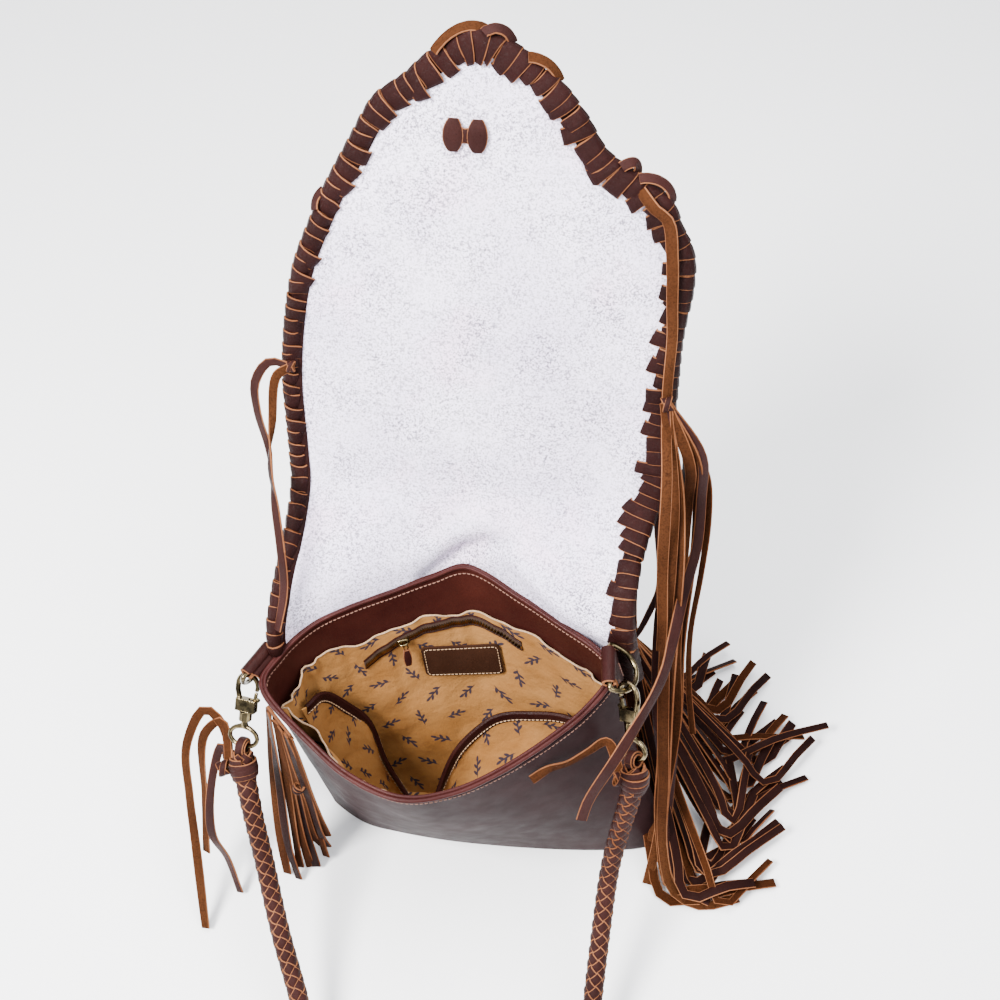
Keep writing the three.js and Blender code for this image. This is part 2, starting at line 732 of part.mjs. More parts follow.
function pocket(name, hem) {
  const grid = pocketGrid(hem);
  const normals = gridNormals(grid);
  add(name, thicken(grid, normals, POCKET_SHEET), LINING_CLOTH);
  const top = grid[grid.length - 1];
  const topNormals = normals[normals.length - 1];
  const section = [
    [-TRIM_ROUND, 0], [0, -TRIM_HALF], [TRIM_DEPTH, -TRIM_HALF], [TRIM_DEPTH, TRIM_HALF], [0, TRIM_HALF],
  ];
  const inner = { from: 1, to: top.length - 1 };
  const route = top.slice(inner.from, inner.to);
  const face = (_, index) => topNormals[index + inner.from];
  const band = sweep(route, section, face);
  add(`${name}_trim`, join([band], [room(grid, normals, POCKET_SHEET, GAP)]), TRIM_LEATHER);
}

// Zip and label on the back of the lining

function wallPatch(line, halfWidth, inset, thick) {
  const far = halfWidth / BODY_HEIGHT;
  const layer = (depth) => [-far, far].map((offset) =>
    line.map(({ x, y }) => facetPoint(x, y + offset, depth)));
  return sheet(layer(inset + thick), layer(inset));
}

const ZIP_STEPS = 20;
const ZIP_CLOSED = 4;

function zipCurve(steps) {
  return curve(ZIP_LINE.map(({ station, rise }) => new THREE.Vector3(station, rise, 0)), steps);
}

function zip() {
  const line = zipCurve(ZIP_STEPS);
  add("zip_coil", wallPatch(line, ZIP_WIDTH / 2, LINING_FACE, ZIP_THICK), ZIP_TAPE);
  const place = line[ZIP_CLOSED];
  const frame = wallFrame(place.x, place.y);
  const inward = frame.outward.clone().negate();
  const seat = wallPoint(place.x, place.y, LINING_FACE + ZIP_THICK + SLACK);
  const lay = (geometry) => {
    const basis = new THREE.Matrix4().makeBasis(frame.across, inward, new THREE.Vector3()
      .crossVectors(frame.across, inward));
    return geometry.applyMatrix4(basis).translate(seat.x, seat.y, seat.z);
  };
  const slider = box(SLIDER_LENGTH, SLIDER_THICK, SLIDER_WIDTH, 0, SLIDER_THICK / 2, 0);
  add("zip_slider", lay(slider), OLD_BRASS);
  const lift = SLIDER_THICK + GAP;
  const pull = box(PULL_WIDTH, PULL_THICK, PULL_LENGTH, 0, lift + PULL_THICK / 2, PULL_LENGTH / 2 - 2);
  add("zip_pull", lay(pull), LABEL_LEATHER);
}

function label() {
  const middle = { station: 12.5, rise: 0.675 };
  const reach = (LABEL_WIDTH / 2) * (1 / 26);
  const steps = 6;
  const line = Array.from({ length: steps + 1 }, (_, i) =>
    new THREE.Vector3(middle.station + lerp(-reach, reach, i / steps), middle.rise, 0));
  add("label_patch", wallPatch(line, LABEL_HEIGHT / 2, LINING_FACE, LABEL_THICK), LABEL_LEATHER);
}

// Flap

const FLAP_OFFSET = -(SLACK + FLAP_LEATHER / 2);
const SEWN_COLUMNS = 14;
const WING_COLUMNS = 4;
const FIRST_SEWN = 34;
const SEWN_RISES = [SEAM_RISE, 0.92, 0.985];
const FREE_ROWS = 8;
const ROW_CROWDING = 1.35;

function wallColumn(index, rise) {
  const sewn = Math.min(index, SEWN_COLUMNS);
  const point = wallPoint(columnStation(FIRST_SEWN - sewn), rise, FLAP_OFFSET);
  const beyond = (Math.max(0, index - SEWN_COLUMNS) / WING_COLUMNS) * FLAP_WING;
  point.x += beyond * Math.cos(FLAP_WING_TURN);
  point.y += beyond * Math.sin(FLAP_WING_TURN);
  return point;
}

function flapSurface(across, up) {
  const half = FLAP_WIDTH / 2;
  const share = (across - FLAP_AXIS) / half;
  const valley = FLAP_VALLEY * (Math.sqrt(share * share + 0.12) - 0.35);
  const fade = up > 0 ? Math.max(0, 1 - up / FLAP_FADE) ** 2 : 1;
  return new THREE.Vector3(
    across,
    FLAP_SET + up * Math.sin(FLAP_LEAN) - valley * fade,
    BODY_HEIGHT + up * Math.cos(FLAP_LEAN),
  );
}

// Points along a side edge, closer together near the rim.
function crowded(points) {
  const line = new THREE.CatmullRomCurve3(points, false, "centripetal");
  return Array.from({ length: FREE_ROWS + 1 }, (_, j) => line.getPointAt((j / FREE_ROWS) ** ROW_CROWDING));
}

function flapOutline() {
  const half = FLAP_WIDTH / 2;
  const last = SEWN_COLUMNS + WING_COLUMNS;
  const flat = (across, up) => new THREE.Vector3(FLAP_AXIS + across * half, up * FLAP_LENGTH, 0);
  const top = FLAP_TOP.map(({ across, up }) => flat(across, up));
  const side = (key, index, shoulder) => [
    new THREE.Vector3(wallColumn(index, 1).x, 0, 0),
    ...FLAP_SIDES.map((row) => flat(row[key], row.up)),
    shoulder,
  ];
  return {
    left: crowded(side("left", 0, top[0])),
    right: crowded(side("right", last, top[top.length - 1])),
    top: curve(top, last),
    bottom: Array.from({ length: last + 1 }, (_, i) => new THREE.Vector3(wallColumn(i, 1).x, 0, 0)),
  };
}

function flapGrid() {
  const { left, right, top, bottom } = flapOutline();
  const last = SEWN_COLUMNS + WING_COLUMNS;
  const rows = SEWN_RISES.map((rise) => Array.from({ length: last + 1 }, (_, i) => wallColumn(i, rise)));
  for (let j = 1; j <= FREE_ROWS; j += 1) {
    const v = (j / FREE_ROWS) ** ROW_CROWDING;
    rows.push(bottom.map((low, i) => {
      const u = i / last;
      const patch = new THREE.Vector3()
        .addScaledVector(left[j], 1 - u)
        .addScaledVector(right[j], u)
        .addScaledVector(low, 1 - v)
        .addScaledVector(top[i], v)
        .addScaledVector(bottom[0], -(1 - u) * (1 - v))
        .addScaledVector(bottom[last], -u * (1 - v))
        .addScaledVector(top[0], -(1 - u) * v)
        .addScaledVector(top[last], -u * v);
      const free = flapSurface(patch.x, patch.y);
      const held = wallColumn(i, 1 + patch.y / BODY_HEIGHT);
      return held.lerp(free, THREE.MathUtils.smoothstep(patch.y, 0, FLAP_RISE_OFF));
    }));
  }
  return rows;
}

const flapMiddle = flapGrid();
const flapNormals = gridNormals(flapMiddle);

// A point beside the flap, from its column and row shares, with a distance to its front.
function onFlap(u, v, distance) {
  const rows = flapMiddle.length - 1;
  const columns = flapMiddle[0].length - 1;
  const i = Math.min(Math.floor(u * columns), columns - 1);
  const j = Math.min(Math.floor(v * rows), rows - 1);
  const mix = (grid) => {
    const low = grid[j][i].clone().lerp(grid[j][i + 1], u * columns - i);
    const high = grid[j + 1][i].clone().lerp(grid[j + 1][i + 1], u * columns - i);
    return low.lerp(high, v * rows - j);
  };
  return mix(flapMiddle).addScaledVector(mix(flapNormals).normalize(), distance);
}

function edgeStations() {
  const rows = flapMiddle.length;
  const columns = flapMiddle[0].length;
  const spots = [];
  for (let j = SEWN_RISES.length; j < rows; j += 1) {
    spots.push([j, 0]);
  }
  for (let i = 1; i < columns; i += 1) {
    spots.push([rows - 1, i]);
  }
  for (let j = rows - 2; j >= 0; j -= 1) {
    spots.push([j, columns - 1]);
  }
  return spots;
}

// Points along the flap's edge at the lacing's pitch, two to each wrap, with the flap's normal.
function edgeRoute() {
  const spots = edgeStations().map(([j, i]) => ({ point: flapMiddle[j][i], normal: flapNormals[j][i] }));
  const lengths = [0];
  for (let k = 1; k < spots.length; k += 1) {
    lengths.push(lengths[k - 1] + spots[k].point.distanceTo(spots[k - 1].point));
  }
  const total = lengths[lengths.length - 1];
  const wraps = Math.round(total / LACING_PITCH);
  const route = [];
  for (let n = 0; n <= wraps * 2; n += 1) {
    const place = (total * n) / (wraps * 2);
    const k = Math.min(lengths.findIndex((length) => length > place - 1e-6) || 1, spots.length - 1);
    const low = Math.max(k, 1) - 1;
    const t = (place - lengths[low]) / (lengths[low + 1] - lengths[low]);
    route.push({
      point: spots[low].point.clone().lerp(spots[low + 1].point, t),
      normal: spots[low].normal.clone().lerp(spots[low + 1].normal, t).normalize(),
    });
  }
  return route;
}

function lacingSection(dip) {
  const high = LACING_HALF * dip;
  return [
    [-LACING_ROUND, 0], [0, high], [LACING_REACH - 2, high * 0.9], [LACING_REACH, 0],
    [LACING_REACH - 2, -high * 0.9], [0, -high],
  ];
}

// The sheet with room round it: thicker, and with its edges moved out by the same clearance.
function room(grid, normals, thick, clearance) {
  const rows = grid.length - 1;
  const columns = grid[0].length - 1;
  const grown = grid.map((row, j) => row.map((point, i) => {
    const moved = point.clone();
    const push = (from) => moved.addScaledVector(point.clone().sub(from).normalize(), clearance);
    if (i === 0) push(row[1]);
    if (i === columns) push(row[columns - 1]);
    if (j === 0) push(grid[1][i]);
    if (j === rows) push(grid[rows - 1][i]);
    return moved;
  }));
  return thicken(grown, normals, thick + 2 * clearance);
}

function edgeLacing() {
  const route = edgeRoute();
  const points = route.map((spot) => spot.point);
  const rings = route.map(({ point, normal }, index) => {
    const inward = new THREE.Vector3().crossVectors(tangentAt(points, index, false), normal).normalize();
    return lacingSection(index % 2 === 0 ? 1 : LACING_DIP).map(([a, b]) =>
      point.clone().addScaledVector(inward, a).addScaledVector(normal, b));
  });
  const wound = skin(rings, { cap: capFaces(lacingSection(1)) });
  return join([wound], [room(flapMiddle, flapNormals, FLAP_LEATHER, GAP)]);
}

// Metal fittings at one corner of the mouth

// The roll lies outside the rim by out and above it by lift. tilt swings the D-ring outward from
// where it would hang straight down.
function tabFrame({ station, out, lift, tilt }) {
  const { across, upward, outward } = wallFrame(station, 1);
  const along = across.clone().setZ(across.z * 0.5).normalize();
  const flatOut = outward.clone().addScaledVector(along, -outward.dot(along)).normalize();
  const up = upward.clone().addScaledVector(along, -upward.dot(along)).normalize();
  const rim = wallPoint(station, 1);
  const roll = rim.clone().addScaledVector(flatOut, out);
  roll.addScaledVector(up, lift);
  const drop = flatOut.clone().multiplyScalar(Math.sin(tilt)).addScaledVector(Z, -Math.cos(tilt));
  drop.addScaledVector(along, -drop.dot(along)).normalize();
  return { along, flatOut, up, rim, roll, drop };
}

// A roll of leather round the D-ring's bar, with a tail that comes down the wall. The tail meets
// the roll on its outer side where side is 1 and on its inner side where side is -1.
function tab(frame, side) {
  const { along, flatOut, up, rim, roll } = frame;
  const barrel = rod(TAB_RADIUS, TAB_WIDTH, 10, along, roll);
  const bore = rod(RING_WIRE + GAP * 1.5, TAB_WIDTH * 2, 8, along, roll);
  const seat = rim.clone().addScaledVector(flatOut, LEATHER / 2 + SLACK);
  const route = [
    seat.clone().addScaledVector(up, -TAB_TAIL),
    seat,
    roll.clone().addScaledVector(flatOut, side * (TAB_RADIUS - LEATHER / 2)),
  ];
  const tail = sweep(route, flatSection(TAIL_WIDTH, LEATHER), () => flatOut);
  return join([barrel, tail], [bore]);
}

function ringPath(frame) {
  const { along, roll, drop } = frame;
  const half = RING_WIDTH / 2;
  const steps = 14;
  const points = [];
  for (let i = 0; i <= steps; i += 1) {
    const angle = (i / steps) * Math.PI;
    points.push([half * Math.cos(angle), RING_DEPTH * Math.sin(angle) ** 0.8]);
  }
  for (const share of [-0.5, 0.5]) {
    points.push([half * share, 0]);
  }
  return points.map(([a, b]) => roll.clone().addScaledVector(along, a).addScaledVector(drop, b));
}

function dRing(frame) {
  const normal = new THREE.Vector3().crossVectors(frame.along, frame.drop);
  return sweep(ringPath(frame), circle(RING_WIRE, 6), () => normal, { closed: true });
}

// The clip's own frame has its origin at the D-ring's wire, Z along the clip to its claw and Y
// along the lever's pin.
function clawPath() {
  const points = [];
  for (let angle = -24; angle <= 180; angle += 17) {
    const turn = THREE.MathUtils.degToRad(angle);
    points.push(new THREE.Vector3(CLAW_RADIUS * Math.cos(turn), 0, CLAW_RADIUS * Math.sin(turn)));
  }
  const lift = RING_WIRE + SLACK + CLAW_WIRE - CLAW_RADIUS;
  points.forEach((point) => point.setZ(point.z + lift));
  points.push(new THREE.Vector3(-CLAW_RADIUS, 0, lift - 5));
  points.push(new THREE.Vector3(-BLOCK_HALF + CLAW_WIRE, 0, BLOCK_TOP - 2));
  return points;
}

function clipBody() {
  const middle = (BLOCK_TOP + BLOCK_BOTTOM) / 2;
  const height = BLOCK_TOP - BLOCK_BOTTOM;
  const slotWidth = LEVER_THICK + 2 * GAP;
  const claw = sweep(clawPath(), circle(CLAW_WIRE, 6), () => Y, { grow: (share) => lerp(0.8, 1, Math.min(1, share * 3)) });
  const block = box(2 * BLOCK_HALF, BLOCK_THICK, height, 0, 0, middle);
  const slot = box(BLOCK_HALF, slotWidth, height - 1, BLOCK_HALF / 2 + 1.6, 0, middle + 0.8);
  const rivet = rod(RIVET_RADIUS, BLOCK_THICK, 8, Y, new THREE.Vector3(PIVOT_X, 0, PIVOT_Z));
  const collarMiddle = BLOCK_BOTTOM - COLLAR_LENGTH / 2;
  const collar = rod(COLLAR_RADIUS, COLLAR_LENGTH, 10, Z, new THREE.Vector3(0, 0, collarMiddle + 0.2));
  const bore = rod(STEM_RADIUS + GAP, 8, 10, Z, new THREE.Vector3(0, 0, BLOCK_BOTTOM - COLLAR_LENGTH));
  const pocketTop = BLOCK_BOTTOM - 0.8;
  const pocketRoom = 4.4;
  const room = rod(HEAD_RADIUS + GAP, pocketRoom, 10, Z, new THREE.Vector3(0, 0, pocketTop - pocketRoom / 2));
  const plain = join([claw, block, collar], [slot, bore, room]);
  return join([plain, rivet]);
}

function clipLever() {
  const root = rod(2.9, LEVER_THICK, 10, Y, new THREE.Vector3(PIVOT_X, 0, PIVOT_Z));
  const tip = new THREE.Vector3(PIVOT_X + 2.3, 0, PIVOT_Z + 10.3);
  const arm = sweep(
    [new THREE.Vector3(PIVOT_X + 0.6, 0, PIVOT_Z), new THREE.Vector3(PIVOT_X + 1.8, 0, PIVOT_Z + 5), tip],
    flatSection(2.4, LEVER_THICK),
    () => Y,
  );
  const nub = rod(1.7, LEVER_THICK, 8, Y, new THREE.Vector3(PIVOT_X + 4, 0, PIVOT_Z + 4.6));
  const hole = rod(RIVET_RADIUS + GAP, BLOCK_THICK, 10, Y, new THREE.Vector3(PIVOT_X, 0, PIVOT_Z));
  return join([root, arm, nub], [hole]);
}

function clipEye() {
  const centre = EYE_TOP - EYE_HALF_HEIGHT;
  const path = Array.from({ length: EYE_STEPS }, (_, i) => {
    const angle = (i / EYE_STEPS) * 2 * Math.PI;
    return new THREE.Vector3(EYE_HALF_WIDTH * Math.cos(angle), 0, centre + EYE_HALF_HEIGHT * Math.sin(angle));
  });
  const ring = sweep(path, circle(EYE_WIRE, 6), () => Y, { closed: true });
  const headHigh = BLOCK_BOTTOM - 0.8 - GAP - 0.2;
  const headRoom = 3.4;
  const stemLength = headHigh - EYE_TOP;
  const stem = rod(STEM_RADIUS, stemLength, 10, Z, new THREE.Vector3(0, 0, headHigh - stemLength / 2));
  const head = rod(HEAD_RADIUS, headRoom, 10, Z, new THREE.Vector3(0, 0, headHigh - headRoom / 2));
  return join([ring, stem, head]);
}

function clipFrame(seat, wire, axis) {
  const along = axis.clone().negate();
  along.addScaledVector(wire, -wire.dot(along)).normalize();
  const across = new THREE.Vector3().crossVectors(wire, along);
  return new THREE.Matrix4().makeBasis(across, wire, along).setPosition(seat);
}

const STRAP_END_Z = EYE_TOP - 2 * EYE_HALF_HEIGHT;

function fittings(side, frame, tailSide, wireIndex, lean, spread) {
  const path = ringPath(frame);
  const seat = path[wireIndex];
  const wire = tangentAt(path, wireIndex, true);
  const axis = new THREE.Vector3(spread, -Math.sin(lean), -Math.cos(lean));
  const matrix = clipFrame(seat, wire, axis);
  add(`tab_${side}`, tab(frame, tailSide), BODY_LEATHER);
  add(`d_ring_${side}`, dRing(frame), OLD_BRASS);
  add(`clip_${side}`, clipBody().applyMatrix4(matrix), OLD_BRASS);
  add(`lever_${side}`, clipLever().applyMatrix4(matrix), OLD_BRASS);
  add(`eye_${side}`, clipEye().applyMatrix4(matrix), OLD_BRASS);
  return matrix;
}

// Braided strap

function strapPoints(leftClip, rightClip) {
  const end = (matrix, beyond) =>
    new THREE.Vector3(0, 0, STRAP_END_Z - END_LOOP_RADIUS - beyond).applyMatrix4(matrix);
  const onFloor = (row) => {
    const point = at(row);
    return point.setZ(Math.max(point.z, STRAP_RADIUS + 0.05));
  };
  return [
    end(leftClip, 0.4), end(leftClip, 8),
    ...STRAP_ROUTE.map(onFloor),
    end(rightClip, 8), end(rightClip, 0.4),
  ];
}

function endLoop(matrix) {
  const steps = 12;
  const path = Array.from({ length: steps }, (_, i) => {
    const angle = (i / steps) * 2 * Math.PI;
    const y = END_LOOP_RADIUS * Math.cos(angle);
    const z = STRAP_END_Z + END_LOOP_RADIUS * Math.sin(angle);
    return new THREE.Vector3(0, y, z).applyMatrix4(matrix);
  });
  const normal = new THREE.Vector3(1, 0, 0).transformDirection(matrix);
  return sweep(path, circle(END_LOOP_WIRE, 6), () => normal, { closed: true });
}

function strap(route, leftClip, rightClip) {
  const braid = sweep(route, circle(STRAP_RADIUS, STRAP_SIDES), () => Z.clone().addScaledVector(X, 0.01));
  return join([braid, endLoop(leftClip), endLoop(rightClip)]);
}

// A collar of wound lace round the braid
function collar(route, fromEnd) {
  const list = fromEnd ? [...route].reverse() : route;
  const spots = new THREE.CatmullRomCurve3(list.slice(0, 8), false, "centripetal");
  const length = spots.getLength();
  const steps = 2;
  const ring = (share, radius) => {
    const place = (KNOT_START + share * KNOT_LENGTH) / length;
    const point = spots.getPointAt(place);
    const tangent = spots.getTangentAt(place);
    const up = Z.clone().addScaledVector(tangent, -Z.dot(tangent)).normalize();
    const sideways = new THREE.Vector3().crossVectors(tangent, up);
    return circle(radius, 10).map(([a, b]) =>
      point.clone().addScaledVector(sideways, a).addScaledVector(up, b));
  };
  const inner = STRAP_RADIUS + GAP * 4;
  const shares = Array.from({ length: steps + 1 }, (_, i) => i / steps);
  const swell = (share) => inner + KNOT_WALL * (0.7 + 0.5 * Math.sin(share * Math.PI));
  const rings = [
    ...shares.map((share) => ring(share, swell(share))),
    ...shares.reverse().map((share) => ring(share, inner)),
  ];
  const middle = spots.getPointAt((KNOT_START + KNOT_LENGTH / 2) / length);
  return { geometry: skin(rings, { wrap: true }), middle };
}

// Laces and fringe

// Share of the flap's rows at a height above the rim, for onFlap.
function rowShare(up, crest = FLAP_LENGTH) {
  const sewn = SEWN_RISES.length - 1;
  return (sewn + FREE_ROWS * (up / crest) ** (1 / ROW_CROWDING)) / (sewn + FREE_ROWS);
}

// A strip from its head down to the floor and out to its tip in the pile.
function fringeStrip(head, row) {
  const lie = FRINGE_THICK * (0.6 + row.layer * 1.4);
  const tip = at({ x: row.tip_x, y: row.tip_y, z: 0 }).setZ(lie);
  const drop = head.clone().lerp(tip, 0.1).setZ(head.z * 0.6);
  const knee = head.clone().lerp(tip, 0.3).setZ(head.z * 0.16 + row.layer * FRINGE_THICK * 3);
  const land = head.clone().lerp(tip, 0.7).setZ(lie + FRINGE_THICK * (1.5 + row.layer * 2));
  return ribbon([head, drop, knee, land, tip], FRINGE_WIDTH, FRINGE_THICK, { from: FRONT, to: Z, steps: 4 });
}

function rightFringe() {
  const behind = -(LACING_HALF + GAP + FRINGE_THICK + 1.5);
  const spot = (along) => onFlap(lerp(0.7, 0.97, along), rowShare(lerp(FRINGE_TOP, FRINGE_LOW, along), FRINGE_CREST), behind);
  const headRoute = Array.from({ length: 6 }, (_, i) => spot(i / 5));
  const head = sweep(headRoute, flatSection(16, 2 * FRINGE_THICK), () => FRONT);
  const strips = RIGHT_FRINGE.map((row) => fringeStrip(spot(0.03 + row.along * 0.94), row));
  return join([head, ...strips]);
}

function leftFringe() {
  const { across, outward } = wallFrame(LEFT_HEAD.station, LEFT_HEAD.rise);
  const seat = wallPoint(LEFT_HEAD.station, LEFT_HEAD.rise).addScaledVector(outward, FRINGE_THICK);
  const end = (share) => seat.clone().addScaledVector(across, share * LEFT_HEAD_LENGTH);
  const head = sweep([end(-0.5), seat, end(0.5)], flatSection(10, 2 * FRINGE_THICK), () => outward);
  const strips = LEFT_FRINGE.map(({ along, points }) =>
    ribbon([end(along), ...points.map(at)], FRINGE_WIDTH * 0.85, FRINGE_THICK, { from: outward, to: FRONT, steps: 6 }));
  return join([head, ...strips]);
}

// Laces tied round the flap's left edge, which loop out and hang down past the corner.
function leftLaces() {
  const hold = onFlap(0.02, rowShare(LEFT_TIE, LEFT_CREST), LACING_HALF + GAP + LACE_THICK + 1);
  const knot = ribbon([hold.clone().add(new THREE.Vector3(-8, 0, 0)), hold, hold.clone().add(new THREE.Vector3(7, 0, 0))],
    9, 4.5, { from: FLAP_FRONT, steps: 2 });
  const strands = LEFT_LACES.map((points) =>
    ribbon([hold, ...points.map(at)], CORD_WIDTH, LACE_THICK, { from: FRONT, steps: 10 }));
  return join([knot, ...strands]);
}

// Laces that hang from the right shoulder of the flap.
function laceBundle() {
  const hold = onFlap(0.985, rowShare(BUNDLE_TIE, FRINGE_CREST), LACING_HALF + GAP + LACE_THICK + 2.5);
  const knot = ribbon([hold.clone().add(new THREE.Vector3(-6, 0, 0)), hold, hold.clone().add(new THREE.Vector3(12, 0, 0))],
    12, 5, { from: FLAP_FRONT, steps: 2 });
  const strands = BUNDLE_ROUTES.map(({ width, points, end }) =>
    ribbon([hold, ...points.map(besideMouth)], width, LACE_THICK, { from: FRONT, to: end === "floor" ? Z : FRONT, steps: 10 }));
  return join([knot, ...strands, longLace()]);
}

// One long lace from the right shoulder, in front of the laced edge and down past the corner.
function longLace() {
  const off = LACING_HALF + 2 * GAP + LACE_THICK + 1;
  const rows = LONG_TIES.map((share) => onFlap(0.95, rowShare(share * FLAP_LENGTH, SHOULDER_CREST), off));
  return ribbon([...rows, ...LONG_LACE.map(besideMouth)], LACE_WIDTH * 0.7, LACE_THICK, { from: FRONT, steps: 12 });
}

function stitch() {
  const half = STITCH_WIDTH / 2;
  const tall = STITCH_HEIGHT / 2;
  const outline = [[-half, -tall], [0, -tall * 0.4], [half, -tall], [half, tall], [0, tall * 0.4], [-half, tall]];
  const layer = (depth) => outline.map(([across, up]) => {
    const point = flapSurface(STITCH_X + across, STITCH_UP + up);
    return point.addScaledVector(FLAP_FRONT, FLAP_LEATHER / 2 + GAP + depth);
  });
  return skin([layer(0), layer(LACE_THICK)], { cap: capFaces(outline) });
}

function leftKnot() {
  const { geometry, middle } = collar(strapRoute, false);
  const ribbons = LEFT_KNOT.map((points) =>
    ribbon([middle.clone().add(new THREE.Vector3(-COLLAR_REACH, 0, 0)), ...points.map(at)],
      FRINGE_WIDTH * 0.8, LACE_THICK, { from: FRONT, steps: 9 }));
  return join([geometry, ...ribbons]);
}

function rightKnot() {
  const { geometry, middle } = collar(strapRoute, true);
  const tail = RIGHT_TAIL.map(({ station, rise, off }) => wallPoint(station, rise, -off));
  const start = middle.clone().add(new THREE.Vector3(-COLLAR_RIGHT_REACH, 0, 0));
  const band = ribbon([start, ...tail], LACE_WIDTH * 0.7, LACE_THICK, { from: FRONT, steps: 9 });
  return join([geometry, band]);
}

// Build

add("body_shell", bodyShell(), BODY_LEATHER);
add("lining", lining(), LINING_CLOTH);
pocket("pocket_left", LEFT_HEM);
pocket("pocket_right", RIGHT_HEM);
zip();
label();
add("flap", thicken(flapMiddle, flapNormals, FLAP_LEATHER), SUEDE);
add("edge_lacing", edgeLacing(), LACE_LEATHER);

const leftFrame = tabFrame(LEFT_TAB);
const rightFrame = tabFrame(RIGHT_TAB);
const leftClip = fittings("left", leftFrame, -1, 4, LEFT_CLIP_LEAN, -0.08);
const rightClip = fittings("right", rightFrame, 1, 11, RIGHT_CLIP_LEAN, 0.04);

const strapRoute = curve(strapPoints(leftClip, rightClip), STRAP_STEPS);
add("braided_strap", strap(strapRoute, leftClip, rightClip), BRAID_LEATHER);
add("knot_left", leftKnot(), LACE_LEATHER);
add("knot_right", rightKnot(), LACE_LEATHER);
add("flap_stitch", stitch(), LACE_LEATHER);
add("laces_left", leftLaces(), FRINGE_LEATHER);
add("lace_bundle", laceBundle(), FRINGE_LEATHER);
add("fringe_right", rightFringe(), FRINGE_LEATHER);
add("fringe_left", leftFringe(), FRINGE_LEATHER);

export default group;
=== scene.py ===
import math
import random

import bpy
from mathutils import Matrix, Quaternion, Vector


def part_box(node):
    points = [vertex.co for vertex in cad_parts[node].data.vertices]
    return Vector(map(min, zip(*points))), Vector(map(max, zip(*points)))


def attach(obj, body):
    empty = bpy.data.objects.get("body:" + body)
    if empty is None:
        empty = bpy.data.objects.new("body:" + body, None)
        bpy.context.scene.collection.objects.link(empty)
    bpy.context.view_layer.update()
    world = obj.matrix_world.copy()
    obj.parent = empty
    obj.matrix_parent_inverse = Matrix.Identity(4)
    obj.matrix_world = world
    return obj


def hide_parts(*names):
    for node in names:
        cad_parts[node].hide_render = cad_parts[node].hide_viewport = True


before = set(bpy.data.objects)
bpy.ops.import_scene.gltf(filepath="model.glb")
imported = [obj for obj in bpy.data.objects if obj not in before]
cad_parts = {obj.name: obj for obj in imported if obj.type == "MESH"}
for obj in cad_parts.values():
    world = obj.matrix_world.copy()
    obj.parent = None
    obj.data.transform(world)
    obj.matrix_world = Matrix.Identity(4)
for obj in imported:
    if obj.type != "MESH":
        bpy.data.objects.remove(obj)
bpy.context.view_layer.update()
random.seed(11)

# Sizes in millimetres, in the part's frame
BODY_WIDTH = 284.0
BODY_HEIGHT = 240.0
BASE_DEPTH = 44.0
BASE_ROUND = 3.5
MOUTH_WIDTH = 252.0
MOUTH_DEPTH = 176.0
MOUTH_SHIFT = -46.0
BELLY = 7.0
LEATHER = 2.2
FACING = 38.0
FLAP_LENGTH = 403.0
FLAP_WIDTH = 268.0
FLAP_AXIS = -32.0
FLAP_LEAN = math.radians(18)
FLAP_SET = 91.0
FLAP_VALLEY = 52.0
FLAP_FADE = 180.0
FLAP_RISE_OFF = 90.0
FLAP_WING = 54.0
FLAP_WING_TURN = math.radians(-19)
FLAP_OFFSET = -2.2
STRAP_RADIUS = 7.25
LINING_IN = 3.65
LINING_FACE = 4.35

# Stations round the wall, from the left corner over the front, the right corner and the back:
# shares of half the mouth, of the height, and of half the base.
WALL = [
    (-1.0, -0.18, 0.94, -1.0, 0.1),
    (-0.667, -0.61, 0.92, -0.8, -0.62),
    (-0.413, -0.85, 0.9, -0.58, -0.85),
    (-0.12, -0.98, 0.895, -0.3, -0.98),
    (0.15, -0.89, 0.895, 0.0, -1.0),
    (0.41, -0.69, 0.915, 0.3, -0.95),
    (0.675, -0.42, 0.955, 0.6, -0.8),
    (0.88, -0.16, 1.0, 0.85, -0.55),
    (1.0, 0.11, 1.04, 1.0, 0.0),
    (0.91, 0.32, 1.04, 0.87, 0.6),
    (0.675, 0.55, 1.04, 0.62, 0.85),
    (0.43, 0.77, 1.045, 0.33, 0.97),
    (0.11, 1.0, 1.06, 0.05, 1.0),
    (-0.11, 0.875, 1.055, -0.2, 1.0),
    (-0.33, 0.72, 1.04, -0.45, 0.92),
    (-0.56, 0.57, 1.02, -0.68, 0.8),
    (-0.78, 0.4, 0.99, -0.86, 0.6),
    (-0.945, 0.14, 0.955, -0.97, 0.35),
]
MOUTH_X, MOUTH_Y, RIM, BASE_X, BASE_Y = range(5)
STATIONS = len(WALL)

# Side edges of the flap above the rim (height, left, right), then its top edge (across, height).
FLAP_SIDES = [
    (0.138, -0.935, 0.94),
    (0.26, -0.955, 1.0),
    (0.4, -0.975, 1.0),
    (0.533, -0.935, 0.995),
    (0.61, -0.885, 1.015),
    (0.66, -0.83, 1.01),
]
FLAP_TOP = [
    (-0.72, 0.745),
    (-0.6, 0.82),
    (-0.47, 0.895),
    (-0.36, 0.922),
    (-0.2, 0.97),
    (-0.03, 1.0),
    (0.16, 0.975),
    (0.33, 0.932),
    (0.45, 0.885),
    (0.56, 0.83),
    (0.76, 0.787),
    (0.88, 0.757),
    (0.93, 0.72),
    (0.985, 0.69),
]
LEFT_HEM = [
    (0.35, 0.78, 0.45),
    (0.75, 0.74, 0.8),
    (1.3, 0.62, 0.84),
    (1.75, 0.5, 0.8),
    (1.95, 0.38, 0.62),
    (2.3, 0.3, 0.38),
    (2.62, 0.26, 0.1),
]
